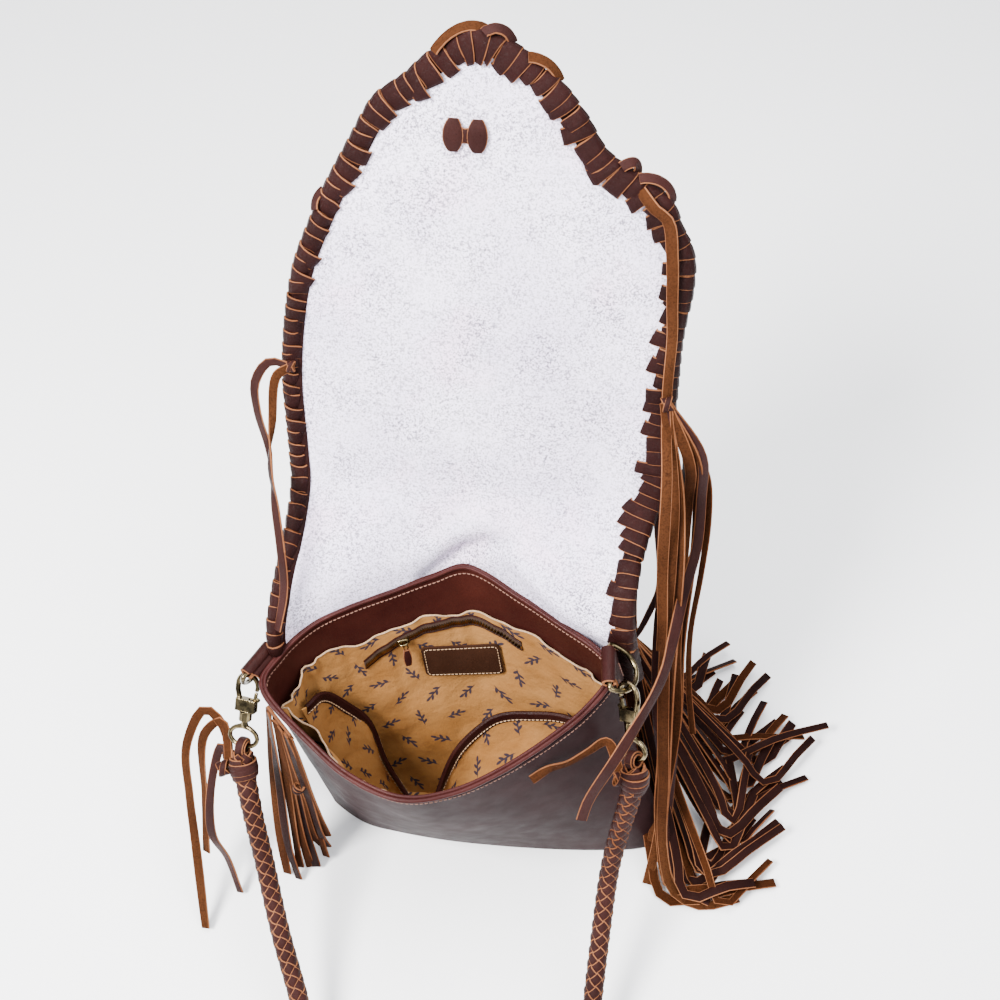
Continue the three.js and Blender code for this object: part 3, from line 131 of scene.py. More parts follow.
RIGHT_HEM = [
    (2.85, 0.3, 0.1),
    (3.2, 0.36, 0.44),
    (3.6, 0.46, 0.58),
    (4.4, 0.56, 0.66),
    (5.3, 0.6, 0.74),
    (6.2, 0.62, 0.76),
    (7.3, 0.66, 0.55),
]
ZIP_LINE = [
    (15.1, 0.72),
    (14.3, 0.78),
    (13.4, 0.81),
    (12.2, 0.8),
    (11.1, 0.78),
]


# Numbers and curves


def lerp(a, b, t):
    return a + (b - a) * t


def clamp(value, low=0.0, high=1.0):
    return max(low, min(high, value))


def smoothstep(value, low, high):
    t = clamp((value - low) / (high - low))
    return t * t * (3 - 2 * t)


def dense_spline(points, per_span=12):
    """Points on a centripetal spline through the given ones."""
    out = []
    count = len(points)
    for i in range(count - 1):
        p1 = points[i]
        p2 = points[i + 1]
        p0 = points[i - 1] if i > 0 else p1 * 2 - p2
        p3 = points[i + 2] if i + 2 < count else p2 * 2 - p1
        t01 = max((p1 - p0).length ** 0.5, 1e-4)
        t12 = max((p2 - p1).length ** 0.5, 1e-4)
        t23 = max((p3 - p2).length ** 0.5, 1e-4)
        m1 = ((p1 - p0) / t01 - (p2 - p0) / (t01 + t12) + (p2 - p1) / t12) * t12
        m2 = ((p2 - p1) / t12 - (p3 - p1) / (t12 + t23) + (p3 - p2) / t23) * t12
        for k in range(per_span):
            t = k / per_span
            out.append(
                p1 * (2 * t**3 - 3 * t**2 + 1)
                + m1 * (t**3 - 2 * t**2 + t)
                + p2 * (-2 * t**3 + 3 * t**2)
                + m2 * (t**3 - t**2)
            )
    out.append(points[-1].copy())
    return out


def lengths_along(points):
    out = [0.0]
    for a, b in zip(points, points[1:]):
        out.append(out[-1] + (b - a).length)
    return out


def spaced(points, steps, bend=None):
    """Points at even lengths along a polyline, or at shares bent by a function."""
    lengths = lengths_along(points)
    out = []
    k = 0
    for n in range(steps + 1):
        share = n / steps
        if bend:
            share = bend(share)
        place = share * lengths[-1]
        while k < len(points) - 2 and lengths[k + 1] < place:
            k += 1
        span = max(lengths[k + 1] - lengths[k], 1e-9)
        out.append(points[k].lerp(points[k + 1], clamp((place - lengths[k]) / span)))
    return out


def curve(points, steps, bend=None):
    return spaced(dense_spline([Vector(p) for p in points]), steps, bend)


def at(x, y, z):
    return Vector((x * BODY_WIDTH / 2, y * BODY_WIDTH / 2, z * BODY_HEIGHT))


# Making objects


def make(name, points, faces, slots, face_slots=None, uvs=None, smooth=True, fit="bag"):
    """A mesh object from points in millimetres, with one material for each slot."""
    mesh = bpy.data.meshes.new(name)
    mesh.from_pydata([tuple(p * 0.001) for p in points], [], faces)
    for material in slots:
        mesh.materials.append(material)
    if face_slots:
        mesh.polygons.foreach_set("material_index", face_slots)
    if smooth:
        mesh.polygons.foreach_set("use_smooth", [True] * len(mesh.polygons))
    if uvs:
        layer = mesh.uv_layers.new(name="UVMap")
        flat = []
        for corners in uvs:
            for u, v in corners:
                flat.extend((u, v))
        layer.data.foreach_set("uv", flat)
    mesh.validate()
    if smooth:
        mesh.set_sharp_from_angle(angle=math.radians(50))
    mesh.update()
    piece = bpy.data.objects.new(name, mesh)
    bpy.context.scene.collection.objects.link(piece)
    if fit:
        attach(piece, fit)
    return piece


class Parts:
    """Collects many small closed forms into one object."""

    def __init__(self):
        self.points = []
        self.faces = []
        self.marks = []

    def add(self, points, faces, marks):
        start = len(self.points)
        self.points.extend(points)
        self.faces.extend(tuple(start + i for i in face) for face in faces)
        self.marks.extend(marks)

    def build(self, name, slots, smooth=True, fit="bag"):
        return make(name, self.points, self.faces, slots, self.marks, None, smooth, fit)


def grid_faces(rows, columns, wrap=False):
    out = []
    for j in range(rows - 1):
        for i in range(columns if wrap else columns - 1):
            k = (i + 1) % columns
            out.append((j * columns + i, j * columns + k, (j + 1) * columns + k, (j + 1) * columns + i))
    return out


def slab(front, back, front_mark=0, back_mark=0, side_mark=0):
    """A closed sheet between two grids of points. A mark is a number, or one for each column."""
    rows = len(front)
    columns = len(front[0])
    size = rows * columns
    points = [p for row in front for p in row] + [p for row in back for p in row]
    faces = grid_faces(rows, columns)
    back_faces = [tuple(size + i for i in reversed(face)) for face in faces]
    marks = []
    for mark in (front_mark, back_mark):
        marks += (mark if isinstance(mark, list) else [mark] * (columns - 1)) * (rows - 1)
    faces = faces + back_faces
    rim = [i for i in range(columns)]
    rim += [j * columns + columns - 1 for j in range(1, rows)]
    rim += [(rows - 1) * columns + i for i in range(columns - 2, -1, -1)]
    rim += [j * columns for j in range(rows - 2, 0, -1)]
    for a, b in zip(rim, rim[1:] + rim[:1]):
        faces.append((b, a, size + a, size + b))
        marks.append(side_mark)
    return points, faces, marks


def tangents(points, closed=False):
    count = len(points)
    out = []
    for i in range(count):
        if closed:
            step = points[(i + 1) % count] - points[i - 1]
        else:
            step = points[min(i + 1, count - 1)] - points[max(i - 1, 0)]
        out.append(step.normalized() if step.length > 1e-9 else Vector((0, 0, 1)))
    return out


def tube(points, radius, sides=8, closed=False, mark=0):
    """A round tube along points; radius is a number or a list."""
    along = tangents(points, closed)
    normal = along[0].orthogonal().normalized()
    rings = []
    for i, point in enumerate(points):
        normal = (normal - along[i] * normal.dot(along[i])).normalized()
        other = along[i].cross(normal)
        size = radius[i] if isinstance(radius, list) else radius
        for s in range(sides):
            angle = 2 * math.pi * s / sides
            rings.append(point + normal * (size * math.cos(angle)) + other * (size * math.sin(angle)))
    count = len(points)
    faces = []
    for j in range(count if closed else count - 1):
        k = (j + 1) % count
        for s in range(sides):
            t = (s + 1) % sides
            faces.append((j * sides + s, j * sides + t, k * sides + t, k * sides + s))
    if not closed:
        faces.append(tuple(reversed(range(sides))))
        faces.append(tuple((count - 1) * sides + s for s in range(sides)))
    return rings, faces, [mark] * len(faces)


def band(points, normals, width, thick, dome=0.0, marks=(0, 1, 2), raw=0.5):
    """A cut strip along points. Marks: its face on the normal's side, its back, its raw edges."""
    along = tangents(points)
    face, back, edge = marks
    half = thick / 2
    rings = []
    for i, point in enumerate(points):
        side = along[i].cross(normals[i]).normalized()
        up = side.cross(along[i]).normalized()
        w = (width[i] if isinstance(width, list) else width) / 2
        e = min(raw, w * 0.3)
        section = [
            (-w, -half * 0.4),
            (-w, half * 0.4),
            (e - w, half),
            (-w * 0.4, half + dome * 0.84),
            (w * 0.4, half + dome * 0.84),
            (w - e, half),
            (w, half * 0.4),
            (w, -half * 0.4),
            (w - e, -half),
            (0.0, dome * 0.6 - half),
            (e - w, -half),
        ]
        rings.append([point + side * a + up * b for a, b in section])
    sides = len(rings[0])
    side_marks = [edge, edge, face, face, face, edge, edge, edge, back, back, edge]
    faces = grid_faces(len(rings), sides, wrap=True)
    all_marks = side_marks * (len(rings) - 1)
    faces.append(tuple(reversed(range(sides))))
    faces.append(tuple((len(rings) - 1) * sides + k for k in range(sides)))
    return [p for ring in rings for p in ring], faces, all_marks + [edge, edge]


# Shader nodes


class Shade:
    """A material with a principled shader, and short ways to add nodes."""

    def __init__(self, name):
        self.material = bpy.data.materials.new(name)
        self.material.use_nodes = True
        self.tree = self.material.node_tree
        self.out = self.tree.nodes["Principled BSDF"]
        self.space = self.node("ShaderNodeTexCoord").outputs["Object"]

    def node(self, kind, inputs=None, **settings):
        node = self.tree.nodes.new(kind)
        for key, value in settings.items():
            setattr(node, key, value)
        for key, value in (inputs or {}).items():
            self.set(node.inputs[key], value)
        return node

    def set(self, socket, value):
        if isinstance(value, bpy.types.NodeSocket):
            self.tree.links.new(value, socket)
        else:
            socket.default_value = value

    def math(self, operation, a, b=0.0, c=0.0):
        node = self.node("ShaderNodeMath", operation=operation)
        self.set(node.inputs[0], a)
        self.set(node.inputs[1], b)
        self.set(node.inputs[2], c)
        return node.outputs[0]

    def noise(self, scale, detail=3.0, rough=0.5, space=None):
        inputs = {"Vector": space or self.space, "Scale": scale, "Detail": detail, "Roughness": rough}
        return self.node("ShaderNodeTexNoise", inputs).outputs["Fac"]

    def cells(self, scale, feature="F1", space=None, output="Distance", jitter=1.0):
        inputs = {"Vector": space or self.space, "Scale": scale, "Randomness": jitter}
        return self.node("ShaderNodeTexVoronoi", inputs, feature=feature).outputs[output]

    def span(self, value, low, high, to_low=0.0, to_high=1.0):
        inputs = {
            "Value": value,
            "From Min": low,
            "From Max": high,
            "To Min": to_low,
            "To Max": to_high,
        }
        return self.node("ShaderNodeMapRange", inputs).outputs["Result"]

    def mix(self, share, a, b, blend="MIX"):
        node = self.node("ShaderNodeMix", data_type="RGBA", blend_type=blend)
        self.set(node.inputs[0], share)
        self.set(node.inputs[6], a if isinstance(a, bpy.types.NodeSocket) else (*a, 1.0))
        self.set(node.inputs[7], b if isinstance(b, bpy.types.NodeSocket) else (*b, 1.0))
        return node.outputs[2]

    def bump(self, height, distance, strength=1.0, base=None):
        inputs = {"Height": height, "Distance": distance, "Strength": strength}
        node = self.node("ShaderNodeBump", inputs)
        if base:
            self.set(node.inputs["Normal"], base)
        return node.outputs["Normal"]

    def finish(self, **sockets):
        for key, value in sockets.items():
            name = key.replace("_", " ")
            if isinstance(value, tuple) and len(value) == 3 and name == "Base Color":
                value = (*value, 1.0)
            self.set(self.out.inputs[name], value)
        return self.material


def leather(name, dark, light, gloss=0.45, grain=900.0, wrinkle=0.0003, fold=45.0, wear=0.2, ior=1.17):
    """Smooth leather: pores, fine wrinkles, cloudy colour and rubbed high spots."""
    s = Shade(name)
    tone = s.span(s.noise(18.0, 5.0, 0.6), 0.32, 0.7)
    colour = s.mix(tone, dark, light)
    worn = s.span(s.noise(130.0, 4.0, 0.7), 0.58, 0.74, 0.0, wear)
    colour = s.mix(worn, colour, tuple(min(1.0, c * 1.9) for c in light))
    pores = s.cells(grain, "DISTANCE_TO_EDGE")
    colour = s.mix(s.span(pores, 0.0, 0.08, 0.5, 0.0), colour, tuple(c * 0.3 for c in dark))
    normal = s.bump(s.span(pores, 0.0, 0.25), 0.00004 + 0.4 * wrinkle, 0.5)
    normal = s.bump(s.noise(fold, 4.0, 0.55), wrinkle, 0.6, normal)
    rough = s.span(s.noise(70.0, 2.0), 0.3, 0.7, gloss - 0.04, gloss + 0.06)
    return s.finish(Base_Color=colour, Roughness=rough, Normal=normal, IOR=ior)


def suede(name, dark, light, speck, amount=0.5, blush=None):
    """Napped leather: a fine speckle on soft clouds of colour."""
    s = Shade(name)
    tone = s.span(s.noise(9.0, 4.0, 0.55), 0.3, 0.7)
    colour = s.mix(tone, dark, light)
    if blush:
        colour = s.mix(s.span(s.noise(16.0, 3.0, 0.5), 0.55, 0.75, 0.0, 0.6), colour, blush)
    cloud = s.span(s.noise(26.0, 4.0, 0.65), 0.3, 0.68, 0.35, 1.0)
    fine = s.span(s.noise(720.0, 2.0, 0.7), 0.5, 0.6, 0.0, amount)
    colour = s.mix(s.math("MULTIPLY", fine, cloud), colour, speck)
    coarse = s.span(s.noise(430.0, 3.0, 0.75), 0.53, 0.62, 0.0, amount)
    colour = s.mix(s.math("MULTIPLY", coarse, cloud), colour, speck)
    nap = s.bump(s.noise(900.0, 4.0, 0.8), 0.0006, 0.9)
    nap = s.bump(s.noise(110.0, 3.0, 0.6), 0.0008, 0.5, nap)
    return s.finish(
        Base_Color=colour,
        Roughness=0.95,
        Normal=nap,
        IOR=1.1,
    )


def printed_cloth(name):
    """Tan cotton with a small navy sprig, turned a different way in each cell."""
    s = Shade(name)
    uv = s.node("ShaderNodeTexCoord").outputs["UV"]
    parts = s.node("ShaderNodeSeparateXYZ", {"Vector": uv})
    row = s.math("FLOOR", s.math("MULTIPLY", parts.outputs["Y"], 1 / 0.026))
    odd = s.math("MULTIPLY", s.math("MODULO", row, 2.0), 0.5)
    column = s.math("ADD", s.math("MULTIPLY", parts.outputs["X"], 1 / 0.03), odd)
    cell = s.node("ShaderNodeCombineXYZ", {"X": s.math("FLOOR", column), "Y": row})
    chance = s.node("ShaderNodeTexWhiteNoise", {"Vector": cell.outputs[0]}, noise_dimensions="2D")
    x = s.math("MULTIPLY", s.math("SUBTRACT", s.math("FRACT", column), 0.5), 30.0)
    fraction = s.math("FRACT", s.math("MULTIPLY", parts.outputs["Y"], 1 / 0.026))
    y = s.math("MULTIPLY", s.math("SUBTRACT", fraction, 0.5), 26.0)
    spot = s.node("ShaderNodeCombineXYZ", {"X": x, "Y": y})
    angle = s.math("MULTIPLY", chance.outputs["Value"], 6.28)
    turned = s.node(
        "ShaderNodeVectorRotate",
        {"Vector": spot.outputs[0], "Angle": angle},
        rotation_type="Z_AXIS",
    ).outputs[0]

    def leaf(cx, cy, turn, long, wide):
        place = s.node("ShaderNodeVectorMath", {0: turned, 1: (cx, cy, 0.0)}, operation="SUBTRACT")
        swung = s.node(
            "ShaderNodeVectorRotate",
            {"Vector": place.outputs[0], "Angle": turn},
            rotation_type="Z_AXIS",
        )
        squeezed = s.node(
            "ShaderNodeVectorMath",
            {0: swung.outputs[0], 1: (1 / long, 1 / wide, 0.0)},
            operation="MULTIPLY",
        )
        return s.node(
            "ShaderNodeVectorMath", {0: squeezed.outputs[0]}, operation="LENGTH"
        ).outputs["Value"]

    shape = leaf(0.0, 0.0, 0.0, 9.0, 0.75)
    pairs = ((-4.5, 1.7, 0.7), (-1.5, -1.7, -0.7), (1.5, 1.7, 0.7), (4.5, -1.7, -0.7), (8.0, 0.0, 0.0))
    for cx, cy, turn in pairs:
        shape = s.math("MINIMUM", shape, leaf(cx, cy, -turn, 3.0, 1.2))
    ink = s.span(shape, 1.15, 0.85)
    weave_u = s.node("ShaderNodeTexWave", {"Vector": uv, "Scale": 420.0}, bands_direction="X")
    weave_v = s.node("ShaderNodeTexWave", {"Vector": uv, "Scale": 420.0}, bands_direction="Y")
    weave = s.math("ADD", weave_u.outputs["Fac"], weave_v.outputs["Fac"])
    tone = s.span(s.noise(14.0, 4.0, 0.6), 0.3, 0.7)
    cloth = s.mix(tone, (0.22, 0.094, 0.024), (0.35, 0.172, 0.055))
    cloth = s.mix(s.span(weave, 0.2, 1.6, 0.12, 0.0), cloth, (0.13, 0.052, 0.012))
    colour = s.mix(s.math("MULTIPLY", ink, 0.95), cloth, (0.02, 0.018, 0.03))
    normal = s.bump(weave, 0.0001, 0.5)
    normal = s.bump(s.noise(45.0, 5.0, 0.6), 0.004, 0.6, normal)
    return s.finish(Base_Color=colour, Roughness=0.85, Normal=normal, IOR=1.15)


def brass(name, dark=(0.036, 0.028, 0.015), light=(0.2, 0.155, 0.08)):
    s = Shade(name)
    tone = s.span(s.noise(140.0, 3.0, 0.5), 0.35, 0.65)
    colour = s.mix(tone, dark, light)
    rough = s.span(s.noise(300.0, 2.0), 0.3, 0.7, 0.15, 0.24)
    normal = s.bump(s.noise(500.0, 2.0), 0.00004, 0.3)
    return s.finish(Base_Color=colour, Metallic=1.0, Roughness=rough, Normal=normal)


def thread(name, colour):
    s = Shade(name)
    tone = s.noise(900.0, 2.0)
    dark = tuple(c * 0.6 for c in colour)
    mixed = s.mix(s.span(tone, 0.35, 0.65), dark, colour)
    normal = s.bump(s.noise(2500.0, 2.0), 0.0002, 0.6)
    return s.finish(Base_Color=mixed, Roughness=0.75, Normal=normal)


BODY_LEATHER = leather(
    "body_leather", dark=(0.012, 0.0052, 0.0056), light=(0.021, 0.0092, 0.0098),
    gloss=0.5, grain=800.0, wrinkle=0.00008, fold=40.0, wear=0.05, ior=1.09,
)
RIM_LEATHER = leather(
    "rim_leather", dark=(0.0216, 0.0047, 0.0043), light=(0.0432, 0.0108, 0.0094),
    gloss=0.3, grain=900.0, wrinkle=0.0002, fold=60.0, wear=0.3,
)
FACING_LEATHER = leather(
    "facing_leather", dark=(0.0216, 0.0043, 0.0036), light=(0.0403, 0.0094, 0.0065),
    gloss=0.45, grain=800.0, wrinkle=0.0003, fold=60.0, wear=0.1,
)
FLAP_BACK = leather(
    "flap_back_leather", dark=(0.0158, 0.0058, 0.0043), light=(0.0288, 0.0108, 0.0086),
    gloss=0.42, grain=800.0, wrinkle=0.0005, fold=30.0, wear=0.1,
)
SUEDE = suede(
    "suede", dark=(0.66, 0.6, 0.78), light=(0.9, 0.84, 1.0),
    speck=(0.1, 0.085, 0.12), amount=0.85, blush=(0.92, 0.68, 0.88),
)
WRAP_FACE = leather(
    "wrap_face", dark=(0.0072, 0.0019, 0.0017), light=(0.0185, 0.0052, 0.0046),
    gloss=0.36, grain=1100.0, wrinkle=0.0009, fold=120.0, wear=0.3, ior=1.13,
)
LACE_FACE = leather(
    "lace_face", dark=(0.013, 0.0042, 0.0037), light=(0.0288, 0.0097, 0.0083),
    gloss=0.42, grain=1200.0, wrinkle=0.0004, fold=90.0, wear=0.15, ior=1.12,
)
LACE_BACK = suede(
    "lace_back", dark=(0.024, 0.0072, 0.0026), light=(0.058, 0.0205, 0.0078),
    speck=(0.009, 0.003, 0.0014), amount=0.5,
)
FRINGE_FACE = leather(
    "fringe_face", dark=(0.0058, 0.0018, 0.0016), light=(0.0158, 0.0047, 0.0036),
    gloss=0.46, grain=1100.0, wrinkle=0.0004, fold=70.0, wear=0.1, ior=1.09,
)
FRINGE_BACK = suede(
    "fringe_back", dark=(0.013, 0.0035, 0.0014), light=(0.038, 0.0115, 0.0038),
    speck=(0.006, 0.002, 0.0009), amount=0.5,
)
RAW_EDGE = suede(
    "raw_edge", dark=(0.095, 0.03, 0.0115), light=(0.215, 0.089, 0.041),
    speck=(0.0434, 0.0124, 0.0043), amount=0.25,
)
TRIM_LEATHER = leather(
    "trim_leather", dark=(0.0105, 0.0026, 0.0023), light=(0.0235, 0.0067, 0.0055),
    gloss=0.33, ior=1.14,
)
LABEL_LEATHER = leather(
    "label_leather", dark=(0.0173, 0.0065, 0.0036), light=(0.0317, 0.013, 0.0072),
    gloss=0.45,
)
PRINT = printed_cloth("printed_cloth")
OLD_BRASS = brass("old_brass")
ZIP_BRASS = brass("zip_brass", (0.16, 0.1, 0.045), (0.4, 0.27, 0.13))
CREAM = thread("cream_thread", (0.396, 0.2508, 0.1452))
PINK = thread("pink_thread", (0.2376, 0.1122, 0.0792))
TAPE = thread("zip_tape", (0.04, 0.018, 0.011))


# Wall of the bag


def around(column, station):
    first = math.floor(station)
    t = station - first
    a, b, c, d = (WALL[(first + k) % STATIONS][column] for k in (-1, 0, 1, 2))
    return b + 0.5 * t * (c - a + t * (2 * a - 5 * b + 4 * c - d + t * (3 * (b - c) + d - a)))


def wall_point(station, rise, inset=0.0):
    mouth_x = MOUTH_SHIFT + around(MOUTH_X, station) * (MOUTH_WIDTH / 2 - inset)
    mouth_y = around(MOUTH_Y, station) * (MOUTH_DEPTH / 2 - inset)
    base_x = around(BASE_X, station) * (BODY_WIDTH / 2 - inset * 1.6)
    base_y = around(BASE_Y, station) * (BASE_DEPTH / 2 - inset)
    swell = BELLY * math.sin(math.pi * clamp(rise))
    return Vector((
        lerp(base_x, mouth_x, rise),
        lerp(base_y, mouth_y, rise) + swell * around(BASE_Y, station),
        BODY_HEIGHT * rise * (1 + (around(RIM, station) - 1) * rise),
    ))


def wall_frame(station, rise):
    across = (wall_point(station + 0.01, rise) - wall_point(station - 0.01, rise)).normalized()
    upward = (wall_point(station, rise) - wall_point(station, rise - 0.01)).normalized()
    return across, upward, across.cross(upward).normalized()


WALL_COLUMNS = 216


def wall_ring(rise, inset):
    out = []
    for i in range(WALL_COLUMNS):
        station = i * STATIONS / WALL_COLUMNS
        level = rise(station) if callable(rise) else rise
        out.append(wall_point(station, level, inset))
    return out


def soft_dents(station, rise):
    """How far the soft wall gives way inward."""
    low = math.sin(math.pi * clamp(rise))
    fold = math.sin(station * 2.1 + rise * 5.0) * math.sin(station * 0.9 + 1.3 - rise * 3.0)
    ripple = math.sin(station * 5.3 - rise * 9.0 + 0.7) * 0.35
    return (fold + ripple) * 0.9 * low


def bag_wall():
    rises = [0.02 + 0.98 * k / 46 for k in range(47)]
    rings = []
    for height in (0.0, 0.6, 1.8):
        back = (1 - height / BASE_ROUND) ** 2 * BASE_ROUND
        ring = [p.copy() for p in wall_ring(height / BODY_HEIGHT, back)]
        for p in ring:
            p.z = height + 0.05
        rings.append(ring)
    for rise in rises:
        ring = []
        for i, p in enumerate(wall_ring(rise, 0.0)):
            station = i * STATIONS / WALL_COLUMNS
            outward = wall_frame(station, max(rise, 0.02))[2]
            ring.append(p - outward * max(0.0, soft_dents(station, rise) + 0.3))
        rings.append(ring)
    for rise in [1.0 - 0.02 * k for k in range(13)]:
        rings.append(wall_ring(rise, LEATHER))
    points = [p for ring in rings for p in ring]
    faces = grid_faces(len(rings), WALL_COLUMNS, wrap=True)
    outside = 2 + len(rises)
    marks = [0 if face[0] // WALL_COLUMNS < outside else 1 for face in faces]
    floor = len(points)
    centre = Vector((0, 0, 0))
    for p in rings[0]:
        centre += p / WALL_COLUMNS
    points.append(centre)
    for i in range(WALL_COLUMNS):
        faces.append((floor, (i + 1) % WALL_COLUMNS, i))
        marks.append(0)
    piece = make("bag_wall", points, faces, [BODY_LEATHER, FACING_LEATHER], marks)
    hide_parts("body_shell")
    return piece


def rim_line(rise_off, inset, steps=WALL_COLUMNS * 2):
    """Points round the rim, below it by rise_off millimetres."""
    out = []
    for i in range(steps):
        station = i * STATIONS / steps
        p = wall_point(station, 1.0, inset)
        up = wall_frame(station, 1.0)[1]
        out.append(p - up * rise_off)
    return out


def rim():
    bits = Parts()
    outer = rim_line(1.2, 0.0)
    wobble = [1.75 + 0.12 * math.sin(i * 0.37) for i in range(len(outer))]
    bits.add(*tube(outer, wobble, 10, closed=True, mark=0))
    inner = rim_line(-0.2, LEATHER + 0.6)
    bits.add(*tube(inner, 1.35, 10, closed=True, mark=0))
    lower = rim_line(5.0, -0.3)
    bits.add(*tube(lower, 0.8, 8, closed=True, mark=1))
    piece = bits.build("rim_piping", [RIM_LEATHER, BODY_LEATHER])
    return piece


def stitches(points, normals, pitch, long, thick):
    """Short rounded stitches along a line."""
    bits = Parts()
    lengths = lengths_along(points)
    count = int(lengths[-1] / pitch)
    middles = spaced(points, count * 2)
    for n in range(count):
        a = middles[2 * n]
        b = middles[2 * n + 1]
        if len(points) < 60:
            k = min(range(len(points)), key=lambda i: abs(lengths[i] - n * pitch))
        else:
            k = int(n / count * (len(points) - 1))
        normal = normals[k]
        step = (b - a).normalized() * (long / 2)
        middle = (a + b) / 2
        rise = normal * thick * 0.6
        line = [middle - step, middle - step * 0.6 + rise, middle + step * 0.6 + rise, middle + step]
        bits.add(*tube(line, [thick * 0.45, thick * 0.6, thick * 0.6, thick * 0.45], 6))
    return bits


def rim_stitches():
    """A row of stitches below the rim on each side of the wall."""
    steps = 720
    rows = (
        ("rim_stitches", LEATHER, 6.5, -1, 0.75),
        ("rim_stitches_outside", 0.0, 8.5, 1, 0.7),
    )
    for name, inset, drop, side, thick in rows:
        points = []
        normals = []
        for i in range(steps + 1):
            station = i * STATIONS / steps
            _, up, outward = wall_frame(station, 1.0)
            points.append(wall_point(station, 1.0, inset) - up * drop)
            normals.append(outward * side)
        piece = stitches(points, normals, 3.4, 2.3, thick).build(name, [PINK])


# Lining


def lining_top(station):
    wave = 3.5 * math.sin(station * 2.2) + 1.75 * math.sin(station * 5.1)
    return 1 - (FACING + wave) / BODY_HEIGHT


def lining_inset(station, rise):
    """Inset of the lining's inner face: smooth by the zip and label, loose at the left end."""
    top = lining_top(station)
    share = clamp(rise / top)
    loose = math.exp(-(((station + 1.5) % STATIONS - 2.0) / 1.6) ** 2)
    flat = 0.35 if 9.5 < station < 16.2 else 1.0
    gather = math.sin(station * 9.5 + 3.0 * share) * 1.3 + math.sin(station * 15.7 + 1.0) * 0.7
    long_fold = math.sin(station * 4.1 + 5.0 * share + 0.5) * 2.0
    ripple = math.sin(share * 30.0 + station * 1.3 + math.sin(station * 3.1)) * 1.5
    ridges = ripple * math.sin(math.pi * share)
    near_top = math.exp(-((1 - share) * 5.0))
    fold = gather * (0.25 + 0.75 * near_top) + long_fold * math.sin(math.pi * share)
    slack = 5.0 * loose * (1 + math.sin(station * 3.4 + 6.0 * share)) * share
    return LINING_IN + max(0.0, 1.2 + (fold + ridges) * flat) + slack


def lining():
    levels = 44
    columns = 360
    grid = []
    for j in range(levels + 1):
        share = j / levels
        row = []
        for i in range(columns + 1):
            station = i * STATIONS / columns
            rise = lerp(0.03, lining_top(station), share)
            row.append(wall_point(station, rise, lining_inset(station, rise)))
        grid.append(row)
    points = [p for row in grid for p in row]
    faces = grid_faces(levels + 1, columns + 1)
    faces = [tuple(reversed(face)) for face in faces]
    perimeter = lengths_along(wall_ring(0.6, 0.0))[-1] * 0.001
    uvs = []
    for face in faces:
        uvs.append([
            ((k % (columns + 1)) / columns * perimeter, (k // (columns + 1)) / levels * 0.2) for k in face
        ])
    floor_start = len(points)
    middle = Vector((0, 0, 0))
    for p in grid[0]:
        middle += p / (columns + 1)
    points.append(middle)
    for i in range(columns):
        faces.append((floor_start, i, i + 1))
        uvs.append([(p.x * 0.001, p.y * 0.001) for p in (points[floor_start], grid[0][i], grid[0][i + 1])])
    piece = make("lining_cloth", points, faces, [PRINT], None, uvs)
    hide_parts("lining")
    hem = []
    for i in range(columns):
        station = i * STATIONS / columns
        top = lining_top(station)
        hem.append(wall_point(station, top, lining_inset(station, top) - 0.2))
    bits = Parts()
    bits.add(*tube(hem, 0.75, 6, closed=True))
    edge = bits.build("lining_hem", [CREAM])


# Pockets


def opposite(station):
    return 17.2 - 1.15 * station


def inside_point(station, rise, depth):
    near = wall_point(station, rise, LINING_FACE + 0.7)
    far = wall_point(opposite(station), rise, LINING_FACE + 0.7)
    return near.lerp(far, depth)


def pocket_grid(hem, columns, rows):
    line = curve(hem, columns)
    grid = []
    for j in range(rows + 1):
        climb = j / rows
        row = []
        for p in line:
            depth = p.z * math.sin(climb * math.pi / 2) ** 1.5
            row.append(inside_point(p.x, lerp(0.05, p.y, climb), depth))
        grid.append(row)
    return grid


def grid_normals(grid):
    rows = len(grid)
    columns = len(grid[0])
    out = []
    for j in range(rows):
        line = []
        for i in range(columns):
            right = grid[j][min(i + 1, columns - 1)] - grid[j][max(i - 1, 0)]
            above = grid[min(j + 1, rows - 1)][i] - grid[max(j - 1, 0)][i]
            line.append(right.cross(above).normalized())
        out.append(line)
    return out


